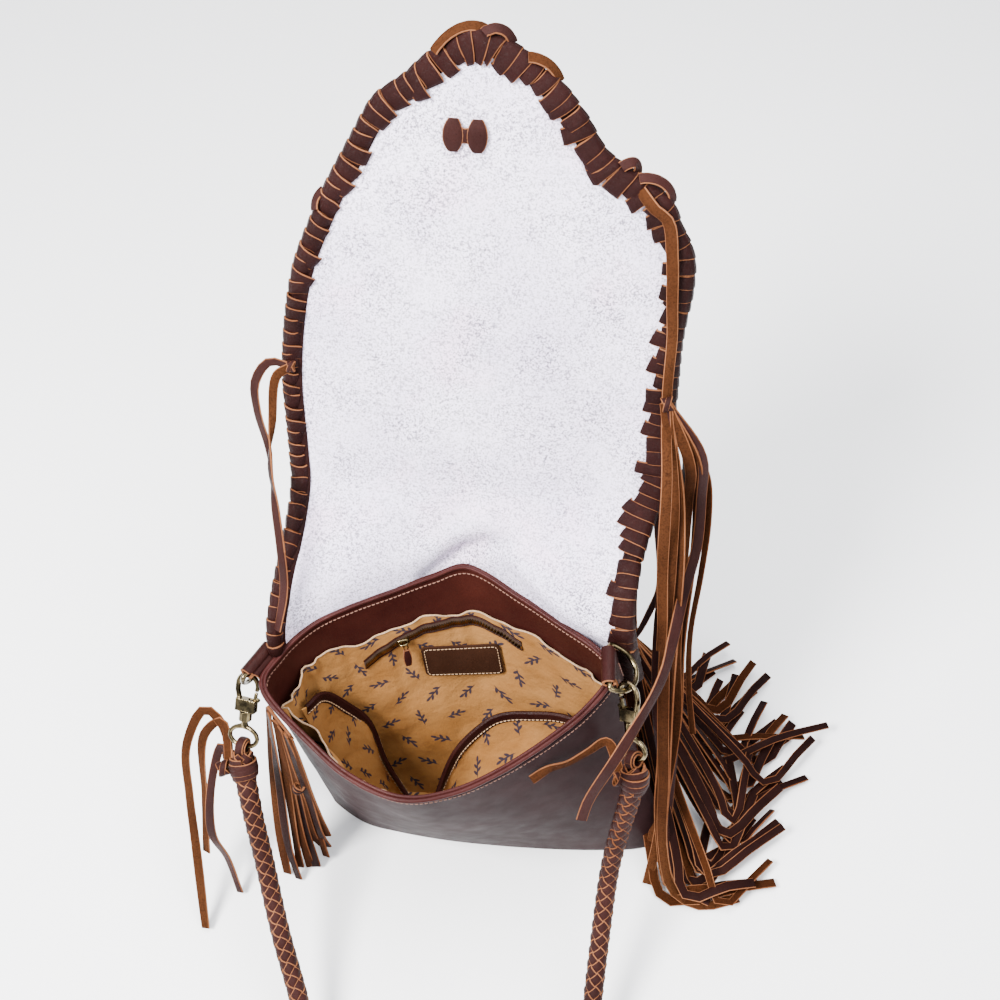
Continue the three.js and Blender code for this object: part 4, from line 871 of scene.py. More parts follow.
def pocket(name, node, hem, wave):
    columns = 64
    rows = 22
    grid = pocket_grid(hem, columns, rows)
    normals = grid_normals(grid)
    soft = []
    for j, row in enumerate(grid):
        line = []
        for i, p in enumerate(row):
            share = i / columns
            climb = j / rows
            fold = math.sin(share * wave + climb * 2.0) * 1.6 * math.sin(math.pi * climb) ** 0.7
            fold += math.sin(share * wave * 2.3 - climb * 4.0) * 0.8 * math.sin(math.pi * climb)
            line.append(p + normals[j][i] * fold)
        soft.append(line)
    front = [[p + n * 0.6 for p, n in zip(row, ns)] for row, ns in zip(soft, normals)]
    back = [[p - n * 0.6 for p, n in zip(row, ns)] for row, ns in zip(soft, normals)]
    points, faces, _ = slab(front, back)
    width = lengths_along(grid[-1])[-1] * 0.001
    size = (rows + 1) * (columns + 1)
    uvs = []
    for face in faces:
        spots = [divmod(k % size, columns + 1) for k in face]
        uvs.append([(column / columns * width, row / rows * 0.13) for row, column in spots])
    piece = make(name, points, faces, [PRINT], None, uvs)
    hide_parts(node)
    top = soft[-1]
    top_normals = normals[-1]
    bits = Parts()
    upper = [(-2.0, 0.0), (-1.2, 1.6), (1.0, 2.1), (7.5, 1.7)]
    section = upper + [(7.8, 0.0), (7.5, -1.7), (1.0, -2.1), (-1.2, -1.6)]
    along = tangents(top)
    rings = []
    start = 3
    stop = columns - 3
    for i in range(start, stop + 1):
        down = top_normals[i].cross(along[i]).normalized()
        if down.z > 0:
            down = -down
        rings.append([top[i] + down * a + top_normals[i] * b for a, b in section])
    ring_points = [p for ring in rings for p in ring]
    ring_faces = grid_faces(len(rings), len(section), wrap=True)
    ring_faces.append(tuple(range(len(section))))
    last = (len(rings) - 1) * len(section)
    ring_faces.append(tuple(reversed([last + k for k in range(len(section))])))
    bits.add(ring_points, ring_faces, [0] * len(ring_faces))
    trim = bits.build(name + "_trim", [TRIM_LEATHER])
    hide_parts(node + "_trim")
    for side in (1, -1):
        line = []
        faces_out = []
        for i in range(start, stop + 1):
            down = top_normals[i].cross(along[i]).normalized()
            if down.z > 0:
                down = -down
            line.append(top[i] + down * 5.2 + top_normals[i] * (side * 1.9))
            faces_out.append(top_normals[i] * side)
        seam_normals = [n for n in faces_out for _ in range(6)] + [faces_out[-1]]
        seam = stitches(dense_spline(line, 6), seam_normals, 3.2, 2.1, 0.7)
        made = seam.build(f"{name}_seam_{'front' if side == 1 else 'back'}", [CREAM])


# Zip and label


def back_patch(line, half, lift, thick, rows=6, dome=0.0):
    """A thick patch on the back of the lining, along a line of stations and rises."""
    front = []
    back = []
    for j in range(rows + 1):
        offset = lerp(-half, half, j / rows) / BODY_HEIGHT
        crown = dome * (1 - (2 * j / rows - 1) ** 2)
        levels = [(x, y + offset, lining_inset(x, y + offset) + lift) for x, y in line]
        front.append([wall_point(x, y, inset + thick + crown) for x, y, inset in levels])
        back.append([wall_point(x, y, inset) for x, y, inset in levels])
    return front, back


def zip_row():
    path = curve([(x, y * 20, 0) for x, y in ZIP_LINE], 150)
    line = [(p.x, p.y / 20) for p in path]
    bits = Parts()
    bits.add(*slab(*back_patch(line, 4.0, 0.3, 1.0), 0, 0, 0))
    for offset in (-4.4, 4.4):
        edge = []
        for x, y in line:
            level = y + offset / BODY_HEIGHT
            edge.append(wall_point(x, level, lining_inset(x, level) + 0.9))
        bits.add(*tube(edge, 0.75, 6, mark=2))
    for n, (x, y) in enumerate(line):
        across, up, outward = wall_frame(x, y)
        seat = wall_point(x, y, lining_inset(x, y) + 2.1)
        side = 1 if n % 2 else -1
        centre = seat + up * (side * 0.7)
        half = (across * 0.4, up * 1.5, outward * -0.6)
        corners = []
        for a in (-1, 1):
            for b in (-1, 1):
                for c in (-1, 1):
                    corners.append(centre + half[0] * a + half[1] * b + half[2] * c)
        faces = [(0, 1, 3, 2), (4, 6, 7, 5), (0, 4, 5, 1), (2, 3, 7, 6), (0, 2, 6, 4), (1, 5, 7, 3)]
        bits.add(corners, faces, [1] * 6)
    piece = bits.build("zip_teeth", [TAPE, ZIP_BRASS, TRIM_LEATHER], smooth=False)
    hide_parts("zip_coil")


def slider():
    """The zip's slider, with its bridge, and the folded leather pull that hangs on it."""
    low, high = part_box("zip_slider")
    centre = (Vector(low) + Vector(high)) * 500.0
    path = curve([(x, y * 20, 0) for x, y in ZIP_LINE], 150)
    stop = min(path, key=lambda p: (wall_point(p.x, p.y / 20, 5.0) - centre).length)
    station, rise = stop.x, stop.y / 20
    across, up, outward = wall_frame(station, rise)
    inward = -outward
    seat = wall_point(station, rise, lining_inset(station, rise) + 3.6)
    bits = Parts()
    rings = []
    for height, grow in ((-0.9, 0.86), (-0.6, 1.0), (0.6, 1.0), (1.1, 0.92), (1.3, 0.74)):
        ring = []
        for k in range(28):
            angle = 2 * math.pi * k / 28
            c, s = math.cos(angle), math.sin(angle)
            long = math.copysign(abs(c) ** 0.7, c) * 5.2
            wide = math.copysign(abs(s) ** 0.7, s) * (3.4 + 0.7 * c)
            ring.append(seat + across * (long * grow) + up * (wide * grow) + inward * height)
        rings.append(ring)
    faces = grid_faces(len(rings), 28, wrap=True)
    faces.append(tuple(reversed(range(28))))
    faces.append(tuple(range(4 * 28, 5 * 28)))
    bits.add([p for ring in rings for p in ring], faces, [0] * len(faces))
    bridge = []
    for k in range(13):
        angle = math.pi * k / 12
        bridge.append(seat + across * (3.4 * math.cos(angle)) + inward * (1.0 + 2.3 * math.sin(angle)))
    bits.add(*tube(bridge, 0.7, 8))
    metal = bits.build("zip_slider_metal", [OLD_BRASS])
    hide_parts("zip_slider")
    bits = Parts()
    hang = (inward * 0.25 - Vector((0, 0, 1))).normalized()
    hook = seat + inward * 3.4 - across * 1.2
    link = []
    for k in range(17):
        angle = 2 * math.pi * k / 16
        link.append(hook + hang * (2.6 - 2.6 * math.cos(angle)) + across * (1.6 * math.sin(angle)))
    bits.add(*tube(link[:-1], 0.5, 8, closed=True, mark=3))
    top = hook + hang * 4.6
    for lift in (0.0, 1.3):
        line = [top + hang * (1.5 * t) + inward * (0.4 * t**0.5 + lift * (1 - 0.03 * t)) for t in range(11)]
        widths = [3.4 + 3.2 * math.sin(math.pi * min(1.0, 0.12 + t / 10 * 0.75)) for t in range(11)]
        bits.add(*band(line, [inward] * 11, widths, 1.1, 0.3, (0, 1, 2)))
    pull = bits.build("zip_pull_leather", [TRIM_LEATHER, LACE_BACK, RAW_EDGE, OLD_BRASS])
    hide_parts("zip_pull")


def label():
    half_rise = 15.5 / BODY_HEIGHT
    corners = []
    for station, level in ((11.6, -1), (13.62, -1), (11.6, 1), (13.62, 1)):
        rise = 0.675 + level * half_rise
        corners.append(wall_point(station, rise, lining_inset(station, rise) + 2.2))
    low_left, low_right, high_left, high_right = corners
    long = (low_right - low_left).length / 2
    high = (high_left - low_left).length / 2
    inward = -wall_frame(12.6, 0.675)[2]

    def spot(x, y, lift):
        u = (x / long + 1) / 2
        v = (y / high + 1) / 2
        flat = low_left.lerp(low_right, u).lerp(high_left.lerp(high_right, u), v)
        return flat + inward * lift

    def half_long(y, round_by, inside):
        over = abs(y) - (high - inside - round_by)
        trim = round_by - math.sqrt(max(0.0, round_by**2 - over**2)) if over > 0 else 0.0
        return long - inside - trim

    front = []
    back = []
    for j in range(25):
        y = high * math.sin(math.pi / 2 * (j / 12 - 1))
        wide = half_long(y, 4.5, 0.0)
        crown = 0.5 * (1 - (y / high) ** 2)
        line = [wide * (i / 15 - 1) for i in range(31)]
        front.append([spot(x, y, 0.8 + crown * (1 - (x / long) ** 4)) for x in line])
        back.append([spot(x, y, -0.7) for x in line])
    bits = Parts()
    bits.add(*slab(front, back))
    piece = bits.build("label_leather_patch", [LABEL_LEATHER])
    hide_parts("label_patch")
    rim_x = long - 2.0
    rim_y = high - 2.0
    outline = []
    for side, (sx, sy) in enumerate(((1, 1), (-1, 1), (-1, -1), (1, -1))):
        for k in range(7):
            angle = math.pi / 2 * (side + k / 6)
            x = sx * (rim_x - 3.0) + 3.0 * math.cos(angle)
            y = sy * (rim_y - 3.0) + 3.0 * math.sin(angle)
            outline.append(spot(x, y, 1.25))
    outline.append(outline[0])
    dense = spaced(outline, 120)
    made = stitches(dense, [inward] * len(dense), 3.0, 2.0, 0.55).build("label_stitches", [CREAM])


# Flap


def wall_column(share, rise):
    """A point on the flap where it is sewn to the back wall; share runs over all its columns."""
    index = share * 18
    sewn = min(index, 14)
    point = wall_point((34 - sewn) * STATIONS / 36, rise, FLAP_OFFSET)
    beyond = max(0.0, index - 14) / 4 * FLAP_WING
    point.x += beyond * math.cos(FLAP_WING_TURN)
    point.y += beyond * math.sin(FLAP_WING_TURN)
    return point


def flap_surface(across, up):
    share = (across - FLAP_AXIS) / (FLAP_WIDTH / 2)
    valley = FLAP_VALLEY * (math.sqrt(share * share + 0.12) - 0.35)
    fade = max(0.0, 1 - up / FLAP_FADE) ** 2 if up > 0 else 1.0
    return Vector((
        across,
        FLAP_SET + up * math.sin(FLAP_LEAN) - valley * fade,
        BODY_HEIGHT + up * math.cos(FLAP_LEAN),
    ))


FLAP_ROWS = 96
FLAP_COLUMNS = 72


def flap_grid():
    half = FLAP_WIDTH / 2

    def flat(across, up):
        return Vector((FLAP_AXIS + across * half, up * FLAP_LENGTH, 0))

    top_points = [flat(a, u) for a, u in FLAP_TOP]

    def side(column, share, shoulder):
        rows = [Vector((wall_column(share, 1.0).x, 0, 0))]
        rows += [flat(row[column], row[0]) for row in FLAP_SIDES]
        rows.append(shoulder)
        return curve(rows, FLAP_ROWS, lambda t: t**1.35)

    left = side(1, 0.0, top_points[0])
    right = side(2, 1.0, top_points[-1])
    top = curve(top_points, FLAP_COLUMNS)
    bottom = [Vector((wall_column(i / FLAP_COLUMNS, 1.0).x, 0, 0)) for i in range(FLAP_COLUMNS + 1)]
    rows = []
    for k in range(7):
        rise = lerp(0.84, 0.985, k / 6)
        rows.append([wall_column(i / FLAP_COLUMNS, rise) for i in range(FLAP_COLUMNS + 1)])
    for j in range(1, FLAP_ROWS + 1):
        v = (j / FLAP_ROWS) ** 1.35
        row = []
        for i in range(FLAP_COLUMNS + 1):
            u = i / FLAP_COLUMNS
            patch = left[j] * (1 - u) + right[j] * u + bottom[i] * (1 - v) + top[i] * v
            patch -= bottom[0] * ((1 - u) * (1 - v)) + bottom[-1] * (u * (1 - v))
            patch -= top[0] * ((1 - u) * v) + top[-1] * (u * v)
            free = flap_surface(patch.x, patch.y)
            held = wall_column(u, 1 + patch.y / BODY_HEIGHT)
            row.append(held.lerp(free, smoothstep(patch.y, 0, FLAP_RISE_OFF)))
        rows.append(row)
    return rows


flap_middle = flap_grid()
flap_normals = grid_normals(flap_middle)


def on_flap(u, v, distance):
    """A point beside the flap from its column and row shares; distance is towards its front."""
    i = min(int(u * FLAP_COLUMNS), FLAP_COLUMNS - 1)
    rows = len(flap_middle) - 1
    j = min(int(v * rows), rows - 1)
    fu = u * FLAP_COLUMNS - i
    fv = v * rows - j

    def mix(grid):
        low = grid[j][i].lerp(grid[j][i + 1], fu)
        high = grid[j + 1][i].lerp(grid[j + 1][i + 1], fu)
        return low.lerp(high, fv)

    return mix(flap_middle) + mix(flap_normals).normalized() * distance


def row_share(up, crest):
    return (6 + FLAP_ROWS * (up / crest) ** (1 / 1.35)) / (6 + FLAP_ROWS)


# Soft creases where the flap is bent back: a line over it, its depth and its half width.
CREASES = [
    ([(-62, 12), (-40, 25), (-22, 38), (-6, 48)], -6.8, 7.0),
    ([(-70, 34), (-45, 44), (-26, 56)], 4.0, 11.0),
    ([(-4, 46), (10, 36), (40, 26), (78, 14)], 3.6, 9.0),
    ([(-118, 30), (-90, 70), (-70, 120)], 1.6, 16.0),
    ([(20, 60), (50, 90), (66, 140)], -1.6, 18.0),
]


def crease_depth(across, up):
    depth = 0.0
    for line, most, wide in CREASES:
        near = 1e9
        for (ax, ay), (bx, by) in zip(line, line[1:]):
            dx, dy = bx - ax, by - ay
            t = clamp(((across - ax) * dx + (up - ay) * dy) / (dx * dx + dy * dy))
            near = min(near, math.hypot(across - ax - t * dx, up - ay - t * dy))
        depth += most * math.exp(-((near / wide) ** 2))
    return depth


def flap():
    front = []
    back = []
    rows = len(flap_middle)
    for j in range(rows):
        line_front = []
        line_back = []
        for i in range(FLAP_COLUMNS + 1):
            p = flap_middle[j][i]
            n = flap_normals[j][i]
            free = smoothstep(j, 8, 30) * (1 - smoothstep(j, rows - 24, rows - 4))
            inside = smoothstep(i, 0, 8) * (1 - smoothstep(i, FLAP_COLUMNS - 8, FLAP_COLUMNS))
            crease = math.sin(i * 0.31 + j * 0.09) * math.sin(j * 0.16 - i * 0.05 + 1.0)
            up = (p.z - BODY_HEIGHT) / math.cos(FLAP_LEAN)
            held = smoothstep(up, 0, 10) * inside
            p = p + n * (crease * 0.7 * free * inside + crease_depth(p.x, up) * held)
            line_front.append(p + n * 1.5)
            line_back.append(p - n * 1.5)
        front.append(line_front)
        back.append(line_back)
    bits = Parts()
    bits.add(*slab(front, back, 0, 1, 1))
    piece = bits.build("suede_flap", [SUEDE, FLAP_BACK])
    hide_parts("flap")


def edge_line():
    """The flap's free edge from its lower left end over the tip to its lower right end."""
    rows = len(flap_middle)
    spots = [(j, 0) for j in range(7, rows)]
    spots += [(rows - 1, i) for i in range(1, FLAP_COLUMNS + 1)]
    spots += [(j, FLAP_COLUMNS) for j in range(rows - 2, -1, -1)]
    points = [flap_middle[j][i] for j, i in spots]
    normals = [flap_normals[j][i] for j, i in spots]
    return points, normals


edge_points, edge_normals = edge_line()
edge_lengths = lengths_along(edge_points)


def edge_at(place):
    """Point, tangent, direction into the flap and front normal at a length along the edge."""
    place = clamp(place, 0.0, edge_lengths[-1] - 0.01)
    low = 0
    high = len(edge_lengths) - 1
    while high - low > 1:
        middle = (low + high) // 2
        if edge_lengths[middle] <= place:
            low = middle
        else:
            high = middle
    t = (place - edge_lengths[low]) / max(edge_lengths[high] - edge_lengths[low], 1e-9)
    point = edge_points[low].lerp(edge_points[high], t)
    normal = edge_normals[low].lerp(edge_normals[high], t).normalized()
    a = edge_points[max(low - 3, 0)]
    b = edge_points[min(high + 3, len(edge_points) - 1)]
    along = (b - a).normalized()
    inward = along.cross(normal).normalized()
    return point, along, inward, normal


LACE_PITCH = 9.6
# Stretches of the edge, as shares of its length, where the wraps reach further in by so much.
# How far the wraps reach into the flap, by share of the edge: the least and the spread.
WRAP_REACH = [
    (0.0, 4.6, 2.0),
    (0.2, 5.5, 2.5),
    (0.34, 7.5, 3.5),
    (0.44, 9.5, 5.0),
    (0.5, 10.5, 5.0),
    (0.6, 11.0, 5.0),
    (0.7, 10.0, 6.5),
    (0.84, 11.5, 8.0),
    (1.0, 11.0, 6.0),
]


def wrap_reach(share):
    for (a, low_a, spread_a), (b, low_b, spread_b) in zip(WRAP_REACH, WRAP_REACH[1:]):
        if share <= b:
            t = (share - a) / (b - a)
            return lerp(low_a, low_b, t), lerp(spread_a, spread_b, t)
    return WRAP_REACH[-1][1:]


def wrap_path(reach, back_reach, swell):
    """Across the front, round the edge and back: distance into the flap and to its front."""
    return [
        (reach, 1.9),
        (reach - 1.2, 2.9 * swell),
        (reach * 0.62, 3.7 * swell),
        (reach * 0.3, 4.2 * swell),
        (0.0, 3.9 * swell),
        (-2.4, 2.6 * swell),
        (-3.4, 0.0),
        (-2.4, -2.6 * swell),
        (0.0, -3.9 * swell),
        (back_reach * 0.4, -4.2 * swell),
        (back_reach * 0.75, -3.6 * swell),
        (back_reach - 1.0, -2.8 * swell),
        (back_reach, -1.9),
    ]


def edge_lacing():
    bits = Parts()
    total = edge_lengths[-1]
    count = int(total / LACE_PITCH)
    for n in range(count):
        share = n / count
        least, spread = wrap_reach(share)
        reach = least + spread * random.choice((0.0, 0.15, 0.3, 0.6, 0.8, 1.0))
        back_reach = 12.0 + random.uniform(0.0, 2.5)
        width = random.uniform(9.2, 12.4)
        skew = random.choice((-2.0, 0.5, 1.5, 2.5, 3.5, 5.0))
        swell = random.uniform(0.92, 1.12)
        turn = random.uniform(-0.8, 0.8)
        route = wrap_path(reach, back_reach, swell)
        middle = (n + 0.5) * LACE_PITCH + random.uniform(-1.0, 1.0)
        steps = len(route)
        slope = skew / 15
        top = []
        low = []
        section = [-0.5, -0.45, -0.2, 0.1, 0.45, 0.5]
        for k, (a, b) in enumerate(route):
            drift = skew * (k / (steps - 1) - 0.5) * 2 + turn * math.sin(k * 0.8)
            square = clamp(1 - k / 4)
            top_row = []
            low_row = []
            for s in section:
                point, _, inward, normal = edge_at(middle + drift + s * width)
                a2, b2 = route[min(k + 1, steps - 1)]
                a1, b1 = route[max(k - 1, 0)]
                da, db = a2 - a1, b2 - b1
                size = math.hypot(da, db)
                out_a, out_b = db / size, -da / size
                lift = 1.1 * (s + 0.5) + 0.25 * math.cos(s * math.pi)
                base = point + inward * (a + s * width * slope * square) + normal * b
                push = inward * out_a + normal * out_b
                if push.dot(inward * (a - 5) + normal * b) < 0:
                    push = -push
                edge = 0.25 if abs(s) == 0.5 else 0.6
                top_row.append(base + push * (edge + lift))
                low_row.append(base + push * (lift - 0.55))
            top.append(top_row)
            low.append(low_row)
        bits.add(*slab(top, low, [1, 0, 0, 0, 1], 0, 1))
    core = []
    section = ((-2.6, 0), (0, 3.2), (10, 2.2), (10, -2.2), (0, -3.2))
    for k in range(400):
        point, _, inward, normal = edge_at(total * k / 399)
        core.append([point + inward * a + normal * b for a, b in section])
    points = [p for ring in core for p in ring]
    faces = grid_faces(len(core), 5, wrap=True)
    bits.add(points, faces, [0] * len(faces))
    piece = bits.build("wound_lacing", [WRAP_FACE, RAW_EDGE])
    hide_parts("edge_lacing")


# Loops of lace that stand off the edge: start and end as shares of its length, and reach out.
EDGE_LOOPS = [
    (0.33, 0.342, 2.2, 0),
    (0.456, 0.487, 3.4, 1),
    (0.486, 0.502, 4.6, 0),
    (0.513, 0.536, 3.4, 1),
    (0.598, 0.609, 6.0, 0),
    (0.611, 0.636, 5.6, 0),
]


def edge_loops():
    bits = Parts()
    total = edge_lengths[-1]
    for start, stop, reach, napped in EDGE_LOOPS:
        steps = 18
        points = []
        normals = []
        for k in range(steps + 1):
            t = k / steps
            point, _, inward, normal = edge_at(lerp(start, stop, t) * total)
            out = 3.2 + reach * math.sin(math.pi * t) ** 0.8
            front = lerp(5.2, -1.0, t)
            points.append(point - inward * out + normal * front)
            normals.append((-inward + normal * 0.9).normalized())
        bits.add(*band(points, normals, 7.0, 1.4, 0.2, (napped, 1 - napped, 2)))
    piece = bits.build("edge_loops", [LACE_FACE, LACE_BACK, RAW_EDGE])


def bow_stitch():
    """Two short laces side by side, pinched together, where the flap's fastening is sewn on."""
    bits = Parts()
    normal = Vector((0, -math.cos(FLAP_LEAN), math.sin(FLAP_LEAN)))
    for side in (-1, 1):
        points = []
        widths = []
        for k in range(13):
            t = k / 12 * 2 - 1
            points.append(flap_surface(-42 + side * 7.6, 342 + 10.5 * t) + normal * (2.4 + 1.3 * (1 - t * t)))
            widths.append(13.2 - 7.0 * abs(t) ** 2.2)
        bits.add(*band(points, [normal] * 13, widths, 1.2, 0.4, (0, 0, 1)))
    ends = [flap_surface(-42 + x, 342) + normal * 3.2 for x in (-8.0, -4.0, 0.0, 4.0, 8.0)]
    bits.add(*band(ends, [normal] * 5, [12.0, 11.0, 9.5, 11.0, 12.0], 1.2, 0.3, (0, 0, 1)))
    piece = bits.build("bow_stitch", [LACE_FACE, RAW_EDGE])
    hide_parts("flap_stitch")


# Laces and fringe


def strip(bits, points, width, thick=1.5, start=None, stop=None, steps=26, twist=0.0, curl=0.0, phase=0.0):
    """A cut strip of leather: smooth on one side, napped on the other, with raw edges."""
    line = curve(points, steps)
    start = Vector(start or (0, -1, 0))
    stop = Vector(stop or start)
    along = tangents(line)
    normals = []
    widths = []
    for i in range(len(line)):
        share = i / steps
        face = start.lerp(stop, share).normalized()
        turn = twist * share + 0.25 * math.sin(share * 7 + phase)
        face = Quaternion(along[i], turn) @ face
        normals.append(face)
        widths.append(width * (0.94 + 0.08 * math.sin(share * 9 + phase)))
    bits.add(*band(line, normals, widths, thick, curl))


STRIP_MATERIALS = [LACE_FACE, LACE_BACK, RAW_EDGE]
FRINGE_MATERIALS = [FRINGE_FACE, FRINGE_BACK, RAW_EDGE]

# Strips of the right fringe: share along the head; where the tip lies, in shares of half the
# body's width; which way the last stretch points, in degrees; its length; and its layer.
RIGHT_FRINGE = [
    (0.0, 0.83, 1.26, 84, 30, 1),
    (0.02, 0.8, 1.1, 30, 40, 0),
    (0.04, 0.86, 1.0, 15, 50, 2),
    (0.07, 1.21, 1.26, 76, 45, 2),
    (0.1, 1.05, 1.14, 62, 50, 0),
    (0.13, 1.34, 1.34, 45, 66, 3),
    (0.16, 1.39, 1.24, 32, 95, 1),
    (0.19, 1.3, 1.1, 70, 40, 0),
    (0.22, 1.5, 1.21, 62, 62, 3),
    (0.25, 1.6, 1.15, 55, 66, 2),
    (0.28, 1.52, 1.04, 50, 60, 1),
    (0.31, 1.57, 0.94, 67, 64, 3),
    (0.34, 1.44, 0.9, 60, 50, 0),
    (0.37, 1.7, 0.86, 56, 52, 2),
    (0.4, 1.75, 0.83, 60, 52, 1),
    (0.43, 1.74, 0.75, 45, 44, 0),
    (0.46, 1.95, 0.79, 25, 112, 4),
    (0.49, 1.86, 0.7, 52, 62, 3),
    (0.52, 1.62, 0.7, 66, 60, 2),
    (0.55, 1.58, 0.6, 60, 44, 1),
    (0.58, 1.83, 0.47, 30, 62, 1),
    (0.61, 1.7, 0.52, 44, 70, 0),
    (0.64, 1.48, 0.62, 80, 80, 4),
    (0.67, 1.66, 0.36, 48, 70, 3),
    (0.7, 1.62, 0.23, 50, 48, 0),
    (0.73, 1.5, 0.3, 70, 60, 2),
    (0.76, 1.65, 0.16, 45, 84, 1),
    (0.79, 1.67, 0.1, 40, 82, 3),
    (0.82, 1.42, 0.16, 64, 56, 0),
    (0.85, 1.52, 0.02, 40, 60, 2),
    (0.88, 1.46, -0.06, 36, 60, 1),
    (0.91, 1.6, -0.1, 50, 62, 2),
    (0.94, 1.63, -0.22, 16, 64, 0),
    (0.97, 1.5, -0.26, 20, 60, 3),
    (1.0, 1.3, -0.3, 10, 40, 1),
]
FRINGE_CREST = 285.0


def right_fringe():
    bits = Parts()

    def spot(along, back=8.1):
        return on_flap(lerp(0.66, 0.93, along), row_share(lerp(150, 120, along), FRINGE_CREST), -back)

    head = [spot(k / 12) for k in range(13)]
    normals = [Vector((0, 1, 0))] * 13
    bits.add(*band(head, normals, 16.0, 3.0, 0.2, (0, 0, 2)))
    rows = list(RIGHT_FRINGE)
    for along, tip_x, tip_y, turn, fold, layer in RIGHT_FRINGE[2::2]:
        low_turn = turn + random.uniform(-20, 20)
        low_x = tip_x - random.uniform(0.09, 0.17)
        low_y = tip_y + random.uniform(-0.1, 0.04)
        rows.append((along + 0.012, low_x, low_y, low_turn, fold * random.uniform(0.6, 1.1), layer - 1))
    for index, (along, tip_x, tip_y, turn, fold, layer) in enumerate(rows):
        start = spot(0.02 + along * 0.96, 8.1 + (index % 3 - 1) * 1.4)
        lie = 1.2 + layer * 3.2
        tip = at(tip_x, tip_y, 0)
        tip.z = lie + random.uniform(0.0, 5.0)
        angle = math.radians(turn)
        back = Vector((math.cos(angle), math.sin(angle), 0)) * fold
        knee = tip - back
        knee.z = lie + random.uniform(0.0, 3.0)
        half = tip - back * 0.45
        half.z = lie + 2.0 + random.uniform(0.0, 6.0) + layer
        sway = Vector((random.uniform(-5, 5), random.uniform(-5, 5), 0))
        hang = start.lerp(knee, 0.05) + sway * 0.4
        hang.z = start.z * 0.66
        low = start.lerp(knee, 0.2) + sway
        low.z = start.z * 0.34
        lower = start.lerp(knee, 0.55) + sway
        lower.z = start.z * 0.15 + layer * 6.0
        inbound = Vector((knee.x - lower.x, knee.y - lower.y, 0)).normalized()
        near = knee - inbound * 26 + sway * 0.3
        near.z = lie + 12.0 + layer * 3.0
        turn_in = knee - inbound * 8
        turn_in.z = lie + 3.0
        knee = knee + back.normalized() * 8
        twist = random.choice((0.0, 0.0, 0.3, -0.3))
        shown = random.random()
        face = Vector((random.uniform(-0.3, 0.3), -1.0, 0.35))
        if shown < 0.45:
            face = -face
        last = Vector((random.uniform(-0.3, 0.3), random.uniform(-0.3, 0.3), 1.0))
        if shown < 0.3:
            last = -last
        strip(
            bits,
            [start, hang, low, lower, near, turn_in, knee, half, tip],
            random.uniform(6.6, 8.8),
            1.5,
            face,
            last,
            40,
            twist,
            random.uniform(0.0, 0.3),
            index * 1.7,
        )
    piece = bits.build("fringe_right_strips", FRINGE_MATERIALS)
    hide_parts("fringe_right")


BUNDLE = [
    (9.0, "floor", [
        (0.785, 0.73, 1.4),
        (0.805, 0.56, 1.245),
        (0.825, 0.39, 0.945),
        (0.86, 0.2, 0.7),
        (0.91, 0.02, 0.43),
        (0.955, -0.17, 0.16),
        (1.04, -0.34, 0.03),
        (1.2, -0.4, 0.012),
        (1.42, -0.33, 0.012),
    ]),
    (9.0, "hang", [
        (0.89, 0.86, 1.52),
        (0.93, 0.84, 1.33),
        (0.935, 0.7, 1.19),
        (0.89, 0.52, 1.09),
        (0.85, 0.28, 1.05),
        (0.8, 0.05, 1.04),
        (0.62, -0.33, 1.0),
        (0.49, -0.45, 0.81),
        (0.465, -0.5, 0.74),
    ]),
    (5.0, "hang", [
        (0.87, 0.86, 1.52),
        (0.96, 0.92, 1.35),
        (0.99, 0.84, 1.2),
        (0.985, 0.7, 1.05),
        (0.97, 0.55, 0.85),
        (1.0, 0.42, 0.65),
        (1.06, 0.3, 0.46),
    ]),
    (9.0, "floor", [
        (0.84, 0.83, 1.5),
        (0.87, 0.86, 1.28),
        (0.885, 0.72, 1.05),
        (0.9, 0.5, 0.8),
        (0.95, 0.28, 0.55),
        (0.94, 0.06, 0.28),
        (0.92, -0.15, 0.1),
        (0.89, -0.3, 0.012),
    ]),
]
# Where the long lace lies on the flap (across and up it, in millimetres), and its way on down.
LACE_ON_FLAP = [
    (86.8, 298.0),
    (91.8, 274.7),
    (95.4, 239.5),
    (97.6, 217.7),
    (98.5, 175.8),
    (100.6, 149.0),
]
LONG_LACE = [
    (0.73, 0.68, 1.53),
    (0.765, 0.515, 1.21),
    (0.795, 0.375, 1.05),
    (0.805, 0.315, 0.95),
]
# A thin strip that comes out behind the flap and swings back under its edge, in millimetres.
STRAY_LACE = [
    (98, 116, 322),
    (101, 112, 308),
    (105, 106, 282),
    (109, 103, 253),
    (111, 102, 222),
    (107, 102, 193),
    (102, 103, 164),
    (97, 104, 144),
]


def small_knot(bits, centre, axis, size):
    """Two crossed turns of lace round a knot."""
    axis = Vector(axis).normalized()
    side = axis.orthogonal().normalized()
    other = axis.cross(side)
    for tilt, radius in ((0.45, size), (-0.5, size * 0.92), (0.05, size * 0.8)):
        ring = []
        normals = []
        for k in range(17):
            angle = 2 * math.pi * k / 16
            out = side * math.cos(angle) + other * math.sin(angle)
            ring.append(centre + out * radius + axis * (tilt * radius * math.cos(angle)))
            normals.append(out)
        bits.add(*band(ring, normals, size * 0.95, 1.3, 0.3))


